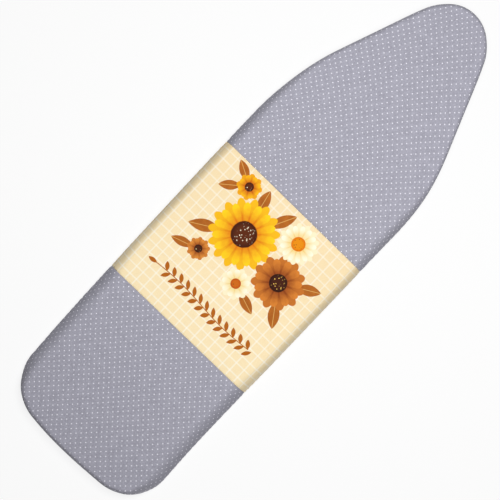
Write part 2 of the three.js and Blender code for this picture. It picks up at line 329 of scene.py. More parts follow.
corner = crossing(side, side_bow_radius - corner_radius, tail, tail_radius - corner_radius)
tail_turn = math.atan2(corner.y - tail.y, corner.x - tail.x)
side_turn = math.atan2(corner.y - side.y, corner.x - side.x)
taper_turn = math.pi / 2 - nose_taper
shoulder = Vector((shoulder_x, cover_width / 2 - shoulder_radius))
arcs_to_taper = [(tail, tail_radius, math.pi, tail_turn), (corner, corner_radius, tail_turn, side_turn),
                 (side, side_bow_radius, side_turn, math.pi / 2),
                 (shoulder, shoulder_radius, math.pi / 2, taper_turn)]
nose_arc = (Vector((nose_x, 0)), nose_radius, taper_turn, 0)
print("the shoulder starts at", round(shoulder_x / mm), "mm")

# %% [markdown]
# Where the edge roll is wide and where it is narrow is seen in the shading of the cover. A table with one
# width for each place would have steps in it. Here the roll starts from its width at the tail, and each row
# names a stretch along the outline, in mm from the middle of the tail, and how much wider the roll gets
# over that stretch.

# %% Stations
tail_roll = 11 * mm
roll_changes = ((150, 225, 23), (430, 560, -11), (790, 860, 3), (890, 1110, -16), (1290, 1390, -1))


def smooth(value, low, high):
    share = np.clip((value - low) / (high - low), 0, 1)
    return share ** 2 * (3 - 2 * share)


def run_along(one, other):
    """How long a path has become at each of its points, from its two coordinates."""
    steps = np.hypot(np.diff(one, axis=-1), np.diff(other, axis=-1))
    return np.concatenate([np.zeros(steps[..., :1].shape), np.cumsum(steps, axis=-1)], axis=-1)


def roll_width(gone):
    """How wide the edge roll is, by the distance from the middle of the tail along the outline."""
    changes = (wider * mm * smooth(gone, low * mm, high * mm) for low, high, wider in roll_changes)
    return tail_roll + sum(changes)


def on_arc(centre, radius, turn):
    """x, y, nx, ny: a place on an arc and the way that is outward there."""
    nx, ny = math.cos(turn), math.sin(turn)
    return centre.x + radius * nx, centre.y + radius * ny, nx, ny


def arc_places(arc, step):
    centre, radius, start, stop = arc
    count = max(2, math.ceil(radius * abs(stop - start) / step))
    return [on_arc(centre, radius, turn) for turn in np.linspace(start, stop, count + 1)]


def outline_places(step):
    """Rows x, y, nx, ny from the middle of the tail round to the tip of the nose."""
    rows = [place for arc in arcs_to_taper for place in arc_places(arc, step)]
    nose = arc_places(nose_arc, step)
    taper = np.linspace(rows[-1], nose[0], math.ceil(taper_run / step) + 1)[1:-1]
    return rows + [tuple(place) for place in taper] + nose


def stations(step=2 * mm, extra=(), start=-cover_length, stop=cover_length):
    """The stations of the stretch from x = start to x = stop, the extra ones on the long side with them."""
    side_turns = np.arccos((np.array(sorted(extra)) - side.x) / side_bow_radius)
    more = [on_arc(side, side_bow_radius, turn) for turn in side_turns]
    rows = np.array(sorted(outline_places(step) + more))
    apart = np.hypot(*np.diff(rows[:, :2], axis=0).T)
    rows = rows[np.concatenate([[True], apart > same_place])]
    rows[[0, -1], 1] = rows[[0, -1], 3] = 0
    gone = run_along(rows[:, 0], rows[:, 1])
    nose = smooth(math.pi / 2 - np.arctan2(rows[:, 3], rows[:, 2]), 0, nose_taper)
    inside = (rows[:, 0] > start - hair) & (rows[:, 0] < stop + hair)
    x, y, nx, ny = rows[inside].T
    return {"x": x, "y": y, "nx": nx, "ny": ny, "roll": roll_width(gone)[inside], "nose": nose[inside],
            "round": gone[inside]}


outline = stations(1 * mm)
half_round = float(outline["round"][-1])
print("half the outline is", round(half_round / mm), "mm long")

# %% [markdown]
# Cut across, the cloth runs flat over the top and bows down over the squeezed foam at the board's edge,
# ever steeper, as a power of the distance does. Where the roll is narrow it then hangs straight down. It
# turns under in a small arc and ends in a lip below. One drawn section could be swept round the outline,
# but this one changes with the width of the roll. At another depth it gives the foam and the tapes. For
# each station it says how far in from the outline a point lies, its height, which way the surface faces,
# and how much cloth has been used since the roll began, which the print follows.

# %% Section
cloth, under_radius, least_radius = 0.8 * mm, 3.2 * mm, 0.8 * mm
lip_height, lip_reach = 11.3 * mm, 50 * mm
bow_power = 2.1
rim_change = {"low": 12 * mm, "high": 30 * mm, "narrow": 10 * mm, "wide": 5 * mm}
upright_change = {"low": 13 * mm, "high": 21 * mm, "narrow": 5.5 * mm, "wide": 2.0 * mm}
bow_steps, round_steps, under_steps, lip_steps = 16, 4, 5, 14
upright_shares = (0.33, 0.67, 1)
short_steps = 20


def by_roll(roll, low, high, narrow, wide):
    """A size that changes from one value, where the roll is as narrow as low, to another, at high."""
    return narrow + (wide - narrow) * smooth(roll, low, high)


def section_path(roll, depth):
    """Points inward, height, facing down the section, and how many of them come before the turn under."""
    still = 0 * roll
    radius = np.maximum(under_radius, depth + least_radius)
    rim = np.maximum(by_roll(roll, **rim_change), depth + least_radius)
    upright = by_roll(roll, **upright_change)
    tilt = 1.0 + still
    for _ in range(12):
        reach = roll - rim * (1 - np.sin(tilt))
        fall = np.minimum(roll - upright, cover_height - lip_height - radius - rim * np.cos(tilt))
        tilt = np.arctan(bow_power * fall / reach)
    side_top, side_foot = cover_height - fall - rim * np.cos(tilt), lip_height + radius
    path = []
    for share in np.linspace(0, 1, bow_steps + 1):
        facing = np.arctan(bow_power * fall / reach * share ** (bow_power - 1))
        path.append((roll - reach * share, cover_height - fall * share ** bow_power, facing))
    for share in np.linspace(0, 1, round_steps + 1)[1:]:
        facing = tilt + (math.pi / 2 - tilt) * share
        path.append((rim * (1 - np.sin(facing)), side_top + rim * np.cos(facing), facing))
    for share in upright_shares:
        path.append((still, side_top + (side_foot - side_top) * share, math.pi / 2 + still))
    before_under = len(path)
    for share in np.linspace(0, 1, under_steps + 1)[1:]:
        facing = math.pi / 2 * (1 + share) + still
        path.append((radius * (1 - np.sin(facing)), side_foot + radius * np.cos(facing), facing))
    for share in np.linspace(0, 1, lip_steps + 1)[1:]:
        path.append((radius + (lip_reach - radius) * share, lip_height + still, math.pi + still))
    return path, before_under


def section(roll, depth, low=None):
    """Inward, height, out and up (the facing) and run, with a row for each station and a column for each
    point of the section. Where low is given, the section ends at that height."""
    roll, depth = np.broadcast_arrays(np.asarray(roll, float), np.asarray(depth, float))
    path, before_under = section_path(roll, depth)
    inward, height, facing = (np.stack(values, axis=-1) for values in zip(*path))
    inward, height = inward + depth[..., None] * np.sin(facing), height - depth[..., None] * np.cos(facing)
    run = run_along(inward, height)
    if low is not None:
        short = []
        for row in range(len(roll)):
            used = run[row, :before_under]
            end = np.interp(-low, -height[row, :before_under], used)
            places = np.linspace(0, end, short_steps)
            kept = (values[row, :before_under] for values in (inward, height, facing))
            short.append([np.interp(places, used, values) for values in kept])
        inward, height, facing = np.swapaxes(short, 0, 1)
        run = run_along(inward, height)
    return {"inward": inward, "height": height, "out": np.sin(facing), "up": np.cos(facing), "run": run}


cloth_used = float(section(roll_width(500 * mm), 0)["run"][-1])
print("cloth used from the top to the hem, 500 mm from the tail:", round(cloth_used / mm, 1), "mm")

# %% [markdown]
# The elastic draws the hem in, so the cloth below the rim stands in pleats that hang down a few
# millimetres. They are deepest round the nose and at the tail, where a long edge of cloth is drawn into a
# short one. They could come from a cloth simulation, but an irregular wave that closes on itself after one
# turn round the cover gives the same look and never tangles. Every number comes from a fixed seed.

# %% Gathers
lap = 2 * half_round
pleat_count, pleat_hang, pleat_pinch = 206, 4.6 * mm, 1.3 * mm
pleat_wander, pleat_power = 1.6, 0.7
side_share, end_share, end_from = 0.72, 0.28, 1.6
swell_middle, swell_size = 0.8, 0.35
hang_full, hang_eases, hang_loss = 28 * mm, 34 * mm, 0.6
pinch_top, pinch_foot, pinch_loss = 30 * mm, 14 * mm, 0.5
label_x, label_calm_reach = -440 * mm, 24 * mm
label_round = float(np.interp(label_x, outline["x"], outline["round"]))
draw = np.random.default_rng(11)


def closed_waves(counts, least):
    """Waves that come back after one lap: how many to the lap, how large and how far turned."""
    return [(n, draw.uniform(least, 1.0), draw.uniform(0, 2 * math.pi)) for n in counts]


wander_waves = closed_waves((3, 5, 8, 13, 21, 34), 0.3)
swell_waves = closed_waves((7, 12, 19, 31, 47, 71), 0.4)


def wander(waves, gone):
    total = sum(size * np.sin(2 * math.pi * n * gone / lap + turn) for n, size, turn in waves)
    return total / sum(size for _, size, _ in waves)


def pleat(gone, count=pleat_count, slip=0.0):
    """0 in a crease and 1 on the round of a pleat, at a distance round the cover."""
    turn = count * gone / lap + pleat_wander * wander(wander_waves, gone) + slip
    return np.abs(np.sin(math.pi * turn)) ** pleat_power


def fullness(gone, nx):
    """How strongly the cloth is gathered: less along the sides, most at the ends, none at the label."""
    bent = np.clip(np.abs(nx) * end_from, 0, 1)
    label_calm = 1 - np.exp(-((np.mod(gone, lap) - label_round) / label_calm_reach) ** 4)
    swell = swell_middle + swell_size * wander(swell_waves, gone)
    return (side_share + end_share * bent) * swell * label_calm


def gather(gone, nx, cut):
    """How far the cloth stands out along its facing, for stations (rows) and section points (columns)."""
    share, full = pleat(gone)[:, None], fullness(gone, nx)[:, None]
    below = smooth(cut["inward"], under_radius, hang_full) * (cut["up"] < 0)
    hang = pleat_hang * below * (1 - hang_loss * smooth(cut["inward"], hang_eases, lip_reach))
    pinch = pleat_pinch * smooth(-cut["height"], -pinch_top, -pinch_foot) * (1 - pinch_loss * below)
    return full * (hang * share - pinch * (1 - share))


print("about", round(pleat_count / (lap / mm) * 100, 1), "pleats in 100 mm")

# %% [markdown]
# Each layer is laid out as a grid: one row of points for each station, from the right hem over the top
# to the left hem. At the tail and the nose the row folds flat on itself, and welding its points closes
# the surface. A sheet shrunk onto the solid could have the same shape, but the grid holds the flat pattern
# too, so the print can follow the cloth over the edge. Both seams are drawn down a little by their
# stitching. A sewn cover never lies quite true, so the seams are a little askew, the left tail corner is
# drawn in, the right one stands out, the flanks of the nose are drawn in and the sides sway a little.

# %% Grids of cloth
seams = (rear_seam, front_seam)
seam_draws = ((0.45 * mm, 7 * mm), (0.75 * mm, 1.3 * mm))
pad_unevenness = 0.11 * mm
slant_reach = 170 * mm
slants = ((rear_seam, 2.1 * mm, 0.0108), (front_seam, 0.2 * mm, 0.0200))
pulls = (((-592, 142), (55, 55), (4.6, -4.6)),
         ((-552, -177), (50, 50), (-2.2, -4.4)),
         ((-490, 0), (65, 1000), (0, -1.8)),
         ((262, 0), (55, 1000), (0, -1.8)),
         ((430, 0), (170, 1000), (0, -1.5)),
         ((580, 66), (26, 26), (-1.4, -3.0)),
         ((584, -62), (28, 28), (-1.6, 2.8)))
soft_waves = [(draw.uniform(6, 26), draw.uniform(0, math.pi), draw.uniform(0, 2 * math.pi))
              for _ in range(14)]


def seam_sink(x):
    """How far the stitching draws the cloth down beside each seam: a wide dip and a narrow one."""
    return sum(deep * np.exp(-((x - seam) / reach) ** 2) for seam in seams for deep, reach in seam_draws)


def softness(x, y):
    """A slight unevenness of the padding under the flat top."""
    waves = sum(np.sin(k * (x * math.cos(a) + y * math.sin(a)) + p) for k, a, p in soft_waves)
    return pad_unevenness * waves


def askew(points):
    """Turns the stretch round each seam a little, by a step and a lean. Then it pulls the cloth aside round
    each place in pulls. A pull has its place, how far it reaches and how far it goes, each along and across,
    in mm."""
    x, y, shift = points[..., 0], points[..., 1], np.zeros(points.shape)
    for seam, step, lean in slants:
        far = np.clip(np.abs(x - seam) / slant_reach, 0, 1)
        shift[..., 0] += np.cos(far * math.pi / 2) ** 2 * (step + lean * y)
    for (at_x, at_y), (reach_x, reach_y), pull in pulls:
        far = ((x / mm - at_x) / reach_x) ** 2 + ((y / mm - at_y) / reach_y) ** 2
        shift[..., :2] += np.exp(-far / 2)[..., None] * np.array(pull) * mm
    return points + shift


def skin(line, depth=0.0, top_columns=22, gathers=True, low=None):
    """Points, flat pattern and, for the print, the place on the flat top that each point hangs from."""
    sink = depth + seam_sink(line["x"])
    cut = section(line["roll"], sink, low=low)
    station_x, station_y, nx, ny, roll = (line[key][:, None] for key in ("x", "y", "nx", "ny", "roll"))
    halves = []
    for hand in (-1, 1):
        out = gather(hand * line["round"], line["nx"], cut) if gathers else 0 * cut["run"]
        inward = cut["inward"] - out * cut["out"]
        x, y = station_x - inward * nx, station_y - inward * ny
        z = cut["height"] + out * cut["up"] + softness(x, hand * y) * np.clip(cut["up"], 0, 1) ** 2
        flat = cut["run"] - roll
        u, v = station_x + flat * nx, station_y + flat * ny
        hung_from = [u[:, :1] + 0 * u, hand * v[:, :1] + 0 * v]
        halves.append(np.stack([x, hand * y, z, u, hand * v, *hung_from], axis=-1))
    share = np.linspace(-1, 1, top_columns + 2)[None, 1:-1]
    x, y = station_x - roll * nx + 0 * share, (station_y - roll * ny) * share
    top = np.stack([x, y, cover_height - sink[:, None] + softness(x, y), x, y, x, y], axis=-1)
    rows = np.concatenate([halves[0][:, ::-1], top, halves[1]], axis=1)
    return askew(rows[..., :3]), rows[..., 3:5], rows[..., 5:]


print("half the cover lies on", len(outline["x"]), "stations 1 mm apart")

# %% [markdown]
# A grid becomes a mesh when each square of four points gets a face. Blender's own grid primitive could be
# bent to shape, but a mesh from points keeps the flat pattern in step with them. The helpers also weld
# points that fall together, give a sheet its thickness, measure the cut, and tell the frame which body a
# piece rides on and which solids it stands for.

# %% Meshes from grids
def grid_faces(rows, columns, flip=False, start=0):
    here = start + np.arange(rows * columns).reshape(rows, columns)
    quads = np.stack([here[:-1, :-1], here[1:, :-1], here[1:, 1:], here[:-1, 1:]], axis=-1).reshape(-1, 4)
    return quads[:, ::-1] if flip else quads


def reshape(mesh, *changes):
    """Runs changes from bmesh on a mesh."""
    shape = bmesh.new()
    shape.from_mesh(mesh)
    for change in changes:
        change(shape)
    shape.to_mesh(mesh)
    shape.free()


def make_piece(name, points, faces, maps, finishes, weld=hair):
    """A smooth mesh at the origin. maps gives each UV map's name and its values for the points."""
    mesh = bpy.data.meshes.new(name)
    mesh.from_pydata(np.asarray(points).reshape(-1, 3).tolist(), [], [list(face) for face in faces])
    corners = np.zeros(len(mesh.loops), dtype=np.int32)
    mesh.loops.foreach_get("vertex_index", corners)
    for label, values in maps.items():
        layer = mesh.uv_layers.new(name=label)
        layer.data.foreach_set("uv", np.asarray(values, float).reshape(-1, 2)[corners].ravel())
    reshape(mesh, lambda shape: bmesh.ops.remove_doubles(shape, verts=shape.verts, dist=weld),
            lambda shape: bmesh.ops.dissolve_degenerate(shape, dist=weld / 2, edges=shape.edges))
    mesh.polygons.foreach_set("use_smooth", [True] * len(mesh.polygons))
    made = bpy.data.objects.new(name, mesh)
    scene.collection.objects.link(made)
    for material in finishes:
        mesh.materials.append(material)
    return made


def face_outward(piece):
    reshape(piece.data, lambda shape: bmesh.ops.recalc_face_normals(shape, faces=shape.faces))
    return piece


def thicken(piece, thickness, inner=0):
    """Gives a sheet its thickness, inwards. inner is how far on the reverse's finish comes in the slots."""
    wall = piece.modifiers.new("thickness", "SOLIDIFY")
    wall.thickness, wall.offset, wall.material_offset = thickness, -1, inner


def spans(flat):
    """How long and how wide a flat pattern is."""
    return [float(np.ptp(flat[..., axis])) for axis in (0, 1)]


def flat_area(flat):
    """The area of the cut, from its flat pattern."""
    p = flat.reshape(-1, 2)[grid_faces(*flat.shape[:2])]
    a, b = p[:, 2] - p[:, 0], p[:, 3] - p[:, 1]
    return float(np.abs(a[:, 0] * b[:, 1] - a[:, 1] * b[:, 0]).sum() / 2)


def dress(piece, body, slot, *nodes):
    """Puts a piece on its body, in place of the solids it stands for."""
    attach(piece, body)
    if nodes:
        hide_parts(*nodes)
    return piece


print("grid helpers ready")

# %% [markdown]
# The nose and the tail are grey cotton with small white dots in a staggered pattern, printed on the
# face only. The dots could be instances, but a print has no height, so they are drawn by sums on the
# cloth's own map. That map counts dots, so each dot lies round a whole number. Grain and a plain weave
# give the cotton its tooth. The reverse is paler, with the print just showing through.

# %% Dotted cotton
dot_along, dot_across = 15.4 * mm, 14.0 * mm
dot_radius, dot_blur = 1.2 * mm, 0.35 * mm
thread_pitch, cotton_relief = 1.1 * mm, 0.12 * mm


def dot_print(tree):
    """1 on a printed dot, 0 off it."""
    one, other, _ = split(tree, map_place(tree, "print"))
    one, other = one - one.sum("ROUND"), other - other.sum("ROUND")
    along, across = (one + other) * (dot_along / 2), (one - other) * (dot_across / 2)
    far = (along * along + across * across).sum("SQRT")
    return far.rise(dot_radius - dot_blur, dot_radius + dot_blur).inverse()


def cotton_base(tree, dark, pale):
    """A mottled ground colour and the height of the weave."""
    place = map_place(tree, "cloth")
    across, along, _ = split(tree, place)
    mottle = grain(tree, place, 60.0, 4.0, 0.65)
    fine = grain(tree, place, 620.0, 3.0, 0.7)
    speckle = grain(tree, place, 330.0, 1.0, 0.5)
    share = mottle.rise(0.3, 0.7) * 0.3 + speckle.rise(0.3, 0.7) * 0.45 + fine.rise(0.25, 0.75) * 0.25
    return two_tones(tree, share, dark, pale), woven(tree, across, along, thread_pitch) * 0.7 + fine * 0.6


def dotted_cotton(name, dark, pale, dots, strength):
    material, tree, surface = start_finish(name, roughness=0.92, sheen=0.08, shine=0.2)
    ground, height = cotton_base(tree, dark, pale)
    paint = mix(tree, dot_print(tree) * strength, ground, colour(*dots))
    end_finish(tree, surface, paint, height, cotton_relief, 0.55)
    return material


grey_cotton = [dotted_cotton("dotted_cotton_face", (147, 146, 158), (177, 176, 189), (242, 241, 249), 1.0),
               dotted_cotton("dotted_cotton_reverse", (186, 184, 192), (196, 194, 202), (214, 213, 220), 0.4)]
print("dots lie", round(dot_along / mm, 1), "by", round(dot_across / mm, 1), "mm apart")

# %% [markdown]
# The middle panel is cream cotton with a fine off-white check, and over the check lies a print of flower
# heads. They could be painted by hand on a picture, but one node group draws any of them from its own
# middle, at any size: two rings of petals, fine veins along them, and a round heart full of pale seeds.

# %% Flower head
petal_power, petal_length, petal_root, vein_count = 0.55, 0.46, 0.54, 26.0
front_ring = 0.88


def tree_sockets(tree, wanted, made):
    """Gives a tree its inputs, each with a kind and a first value, and its outputs. Returns the inputs."""
    for label, kind, value in wanted:
        socket = tree.interface.new_socket(label, in_out="INPUT", socket_type="NodeSocket" + kind)
        if value is not None:
            socket.default_value = value
    for label, kind in made:
        tree.interface.new_socket(label, in_out="OUTPUT", socket_type="NodeSocket" + kind)
    given = tree.nodes.new("NodeGroupInput")
    return {socket.name: Field(tree, socket) for socket in given.outputs if socket.name}


def spots(tree, place, scale, uneven):
    """How far a place is from the middle of the nearest of many scattered spots."""
    texture = {"Vector": place, "Scale": scale, "Randomness": uneven}
    return field(tree, "ShaderNodeTexVoronoi", texture, "Distance")


def petal_ring(ask, far, angle, slip, size):
    """How far a place is within a ring of petals, and the shade along and across them."""
    wave = (angle * (ask["Petals"] / 2.0) + slip).sum("COSINE").sum("ABSOLUTE")
    edge = wave.sum("POWER", petal_power) * petal_length * size + petal_root * size
    vein = (wave * vein_count).sum("COSINE") * 0.5 + 0.5
    return (edge - far).rise(-0.012, 0.012), wave.rise(0.0, 0.75) * 0.75 + vein * 0.1 + 0.2


def flower_group():
    group = bpy.data.node_groups.new("flower_head", "ShaderNodeTree")
    numbers = ("Across", "Along", "Radius", "Petals", "Turn", "Heart size")
    wanted = [(label, "Float", None) for label in numbers]
    wanted += [(label, "Color", None) for label in ("Tip", "Root", "Heart", "Seed")]
    ask = tree_sockets(group, wanted, [("Colour", "Color"), ("Cover", "Float")])
    across, along = ask["Across"], ask["Along"]
    far = (across * across + along * along).sum("SQRT") / ask["Radius"]
    angle = along.sum("ARCTAN2", across) + ask["Turn"]
    place = field(group, "ShaderNodeCombineXYZ", {"X": across, "Y": along})
    back, back_shade = petal_ring(ask, far, angle, math.pi / 2, 1.0)
    front, front_shade = petal_ring(ask, far, angle, 0.0, front_ring)
    patchy = grain(group, place, 90.0, 3.0)
    outward = (far + patchy * 0.35).rise(0.42, 1.05)
    petal = mix(group, outward, ask["Root"], ask["Tip"])
    dark = mix(group, 0.6, petal, ask["Root"], "MULTIPLY")
    behind = mix(group, back_shade, dark, mix(group, 0.35, petal, ask["Root"]))
    petals = mix(group, front, behind, mix(group, front_shade, dark, petal))
    seed = spots(group, place, 210.0, 0.85).rise(0.2, 0.36).inverse()
    rim = (ask["Heart size"] - far).rise(0.0, 0.16)
    middle = mix(group, rim * 0.55, mix(group, 0.75, ask["Heart"], ask["Heart"], "MULTIPLY"), ask["Heart"])
    middle = mix(group, seed * rim, middle, ask["Seed"])
    heart = (ask["Heart size"] - far + patchy * 0.04).rise(0.0, 0.03)
    paint = mix(group, heart, petals, middle)
    put(group, "NodeGroupOutput", {"Colour": paint, "Cover": back.sum("MAXIMUM", front)})
    return group


flower = flower_group()
print("flower head group has", len(flower.nodes), "nodes")

# %% [markdown]
# The sprig beside the flowers is a gently waved stem with leaves on both sides in turn. One leaf is a lens
# where two round edges meet. Each could be placed one by one, as the larger ones between the flowers are, but
# along the stem one leaf does for all: the leaves are counted, and the part left over is drawn.

# %% Leaves and sprig
sprig_spacing, sprig_leaf, sprig_leaf_width, sprig_leaf_turn = 19 * mm, 21 * mm, 4.6 * mm, 38
stem_sway, stem_waves = 4 * mm, 24.0


def leaf(across, along, length, width):
    """A pointed leaf from the origin along +across: its cover and its midrib."""
    share = (across / length).sum("MAXIMUM", 0.0).sum("MINIMUM", 1.0)
    bow = (share * math.pi).sum("SINE").sum("POWER", 0.8) * width
    cover = (bow - along.sum("ABSOLUTE")).rise(-0.2 * mm, 0.4 * mm)
    rib = along.sum("ABSOLUTE").rise(0.3 * mm, 0.9 * mm).inverse()
    return cover, rib * cover


def turned(across, along, degrees):
    c, s = math.cos(math.radians(degrees)), math.sin(math.radians(degrees))
    return across * c + along * s, along * c - across * s


def sprig(across, along, first, last):
    """Cover of a leafy stem along 'along' at across = 0, from its first to its last pair of leaves."""
    bend = across - (along * stem_waves).sum("SINE") * stem_sway
    started = (along - first * sprig_spacing).rise(0, 1 * mm)
    inside = started * (along - (last + 1.6) * sprig_spacing).rise(0, 1 * mm).inverse()
    total = bend.sum("ABSOLUTE").rise(0.6 * mm, 1.2 * mm).inverse() * inside
    for hand, slip in ((1, 0.0), (-1, 0.5)):
        count = along / sprig_spacing + slip
        number = count.sum("FLOOR")
        reach, off = turned(bend * hand, (count - number) * sprig_spacing - 2 * mm, sprig_leaf_turn)
        whole = number.rise(first - 0.6, first - 0.4) * number.rise(last + 0.4, last + 0.6).inverse()
        total = total.sum("MAXIMUM", leaf(reach, off, sprig_leaf, sprig_leaf_width)[0] * whole)
    tip = leaf(along - (last + 1.5) * sprig_spacing, bend, sprig_leaf, sprig_leaf_width)[0]
    return total.sum("MAXIMUM", tip)


print("one pair of leaves every", round(sprig_spacing / mm), "mm of the sprig")

# %% [markdown]
# Now the cream cotton is put together in the order in which it would be printed: ground, check, leaves,
# sprig and flower heads. The check could be a grid texture, but its map counts the lines, so a line lies on
# every whole number and both ways can lean a little. Where two lines cross, both whiten the cloth, as two
# passes of thin ink do. Each leaf and each head has its place, its size in mm and its turn, and a head also
# its petals, the share of its heart, and four colours: tip, root, heart and seed.

# %% Checked cotton
line_pitch, line_core, line_fade = 20 * mm, 0.7 * mm, 2.1 * mm
sprig_x, sprig_first, sprig_last = -203 * mm, -7, 5
yolk, rust, bone, ink_pale = (253, 208, 30), (214, 128, 48), (253, 247, 222), (250, 236, 205)
flowers = [((-38, 34), 74, 15, 0.2, 0.36, yolk, (226, 128, 22), (104, 48, 20), ink_pale),
           ((-62, -84), 56, 11, 0.9, 0.33, rust, (150, 74, 28), (78, 36, 18), (246, 200, 96)),
           ((24, -60), 43, 13, 0.5, 0.34, bone, (242, 214, 140), (236, 158, 20), (150, 78, 24)),
           ((-122, -22), 33, 9, 0.1, 0.32, bone, (244, 220, 150), (214, 120, 30), (120, 60, 22)),
           ((38, 92), 27, 8, 0.7, 0.34, (250, 186, 24), (206, 104, 20), (104, 48, 20), ink_pale),
           ((-122, 82), 24, 9, 1.2, 0.34, (222, 140, 56), (160, 82, 30), (84, 40, 18), (250, 226, 170))]
leaves = [((-63, 77), 66, 13, 120), ((11, 44), 52, 12, 12), ((-43, -117), 52, 12, -60),
          ((-93, -106), 56, 12, 215), ((-128, -39), 52, 11, 250), ((-126, 92), 50, 10, 108),
          ((44, 102), 46, 10, 62), ((28, 106), 46, 10, 128), ((7, 8), 62, 12, -27)]


def add_lines(tree, paint, line_share):
    """The check, and the panel a shade darker towards the nose."""
    lines, crosses, _ = split(tree, map_place(tree, "print"))
    for value in (lines, crosses):
        off_line = (value - value.sum("ROUND")).sum("ABSOLUTE") * line_pitch
        on_line = off_line.rise(line_core, line_fade).inverse() * line_share
        paint = mix(tree, on_line, paint, colour(254, 250, 236))
    along, _, _ = split(tree, map_place(tree, "cloth"))
    return mix(tree, along.rise(rear_seam, front_seam), paint, colour(247, 244, 241), "MULTIPLY")


def add_leaves(tree, paint, along, across, print_share):
    ink = two_tones(tree, grain(tree, map_place(tree, "cloth"), 70.0), (150, 78, 26), (196, 116, 40))
    for (x, y), length, width, degrees in leaves:
        shape, rib = leaf(*turned(along - x * mm, across - y * mm, degrees), length * mm, width * mm)
        paint = mix(tree, shape * print_share, paint, ink)
        paint = mix(tree, rib * (0.7 * print_share), paint, colour(236, 190, 110))
    branch = sprig(along - sprig_x, across, sprig_first, sprig_last)
    return mix(tree, branch * print_share, paint, colour(178, 98, 24))


def add_flowers(tree, paint, along, across, print_share):
    for (x, y), radius, petals, turn, heart, *paints in flowers:
        values = {"Across": along - x * mm, "Along": across - y * mm, "Radius": radius * mm,
                  "Petals": float(petals), "Turn": turn, "Heart size": heart}
        values.update({label: colour(*p) for label, p in zip(("Tip", "Root", "Heart", "Seed"), paints)})
        head = tree.nodes.new("ShaderNodeGroup")
        head.node_tree = flower
        for label, value in values.items():
            plug(tree, value, head.inputs[label])
        cover = Field(tree, head.outputs["Cover"]) * print_share
        paint = mix(tree, cover, paint, Field(tree, head.outputs["Colour"]))
    return paint


def checked_cotton(name, dark, pale, line_share, print_share):
    material, tree, surface = start_finish(name, roughness=0.9, sheen=0.08, shine=0.2)
    paint, height = cotton_base(tree, dark, pale)
    paint = add_lines(tree, paint, line_share)
    along, across, _ = split(tree, map_place(tree, "cloth"))
    paint = add_leaves(tree, paint, along, across, print_share)
    paint = add_flowers(tree, paint, along, across, print_share)
    end_finish(tree, surface, paint, height, cotton_relief, 0.5)
    return material


cream_cotton = [checked_cotton("checked_cotton_face", (247, 226, 182), (251, 232, 190), 0.55, 1.0),
                checked_cotton("checked_cotton_reverse", (250, 238, 212), (252, 242, 220), 0.3, 0.16)]
print(len(flowers), "flower heads,", len(leaves), "leaves and a sprig")

# %% [markdown]
# A printed cloth is never cut quite along its pattern. Each panel's map counts its dots or lines from one of
# them, with the gaps and the small leans that this cover shows. A picture of the pattern could be laid on
# instead, but counting keeps every dot sharp, and it follows the flat pattern round the edge and under the
# board, where the panel's anchor, the place on the top that it hangs from, keeps the rows in line.

# %% Counting dots and lines
line_gaps, first_line, line_lean = (19.9 * mm, 17.5 * mm, 22.3 * mm), -436.3 * mm, 0.005
cross_gaps, first_cross, cross_lean = (20.4 * mm, 17.5 * mm, 22.9 * mm), -376.5 * mm, 0.0042
cross_lean_from, gap_repeats = -100 * mm, 13


def dot_map(one_dot, gap_along, gap_across, lean_rows=0.0, lean_columns=0.0, bow=0.0, bow_growth=0.0):
    """Counts the dots from one of them, so that one lies on every pair of whole numbers. Rows and columns
    lean, in degrees, and the rows bow at the sides, more towards the nose."""
    def count(flat, anchor):
        x, y = anchor[..., 0] - one_dot[0], anchor[..., 1] - one_dot[1]
        bowed = bow * y ** 2 * (1 + bow_growth * x)
        along = (x + math.tan(math.radians(lean_rows)) * y + bowed) / gap_along
        across = (y + math.tan(math.radians(lean_columns)) * x) / gap_across
        u, v = (flat - anchor)[..., 0] / dot_along, (flat - anchor)[..., 1] / dot_across
        return np.stack([along + across + u + v, along - across + u - v], axis=-1)
    return count


def even_dots(flat):
    u, v = flat[..., 0] / dot_along, flat[..., 1] / dot_across
    return np.stack([u + v, u - v], axis=-1)


def check_count(value, first, gaps):
    """Counts the check's lines from the first one. Their gaps repeat in threes."""
    marks = first + np.concatenate([[0], np.cumsum(gaps * gap_repeats)])
    return np.interp(value, marks, np.arange(len(marks)))


def line_map(flat, anchor):
    u, v = flat[..., 0], flat[..., 1]
    lines = check_count(u - line_lean * v, first_line, line_gaps)
    crosses = check_count(v + cross_lean * (u - cross_lean_from), first_cross, cross_gaps)
    return np.stack([lines, crosses], axis=-1)


tail_dots = dot_map((-421.4 * mm, -6.0 * mm), 15.07 * mm, 13.72 * mm, lean_columns=2.5)
nose_dots = dot_map((316.6 * mm, -1.7 * mm), 15.8 * mm, 13.9 * mm, 2.0, -3.2, bow=0.77, bow_growth=3.7)
print("the check's lines lie", round(sum(line_gaps) / 3 / mm, 1), "mm apart on average")

# %% [markdown]
# The three panels are the cover's main cloth. Each is one sheet that runs over the rim and under the
# board to the hem, with its thickness added inwards by Solidify. The panels could be one mesh with two
# materials, but the real ones are cut and sewn, and a part is only reusable if each piece stands alone.
# Stations lie closer together beside a seam, where the stitching draws the cloth down.

# %% Panels
cut_gap = 0.15 * mm
near_seam = np.array([0.15, 0.5, 0.9, 1.3, 1.8, 2.5, 3.5, 5, 7, 9.5, 12.5]) * mm


def seam_stations(step=2 * mm, **stretch):
    beside = [seam + hand * far for seam in seams for far in near_seam for hand in (-1, 1)]
    return stations(step, extra=beside, **stretch)


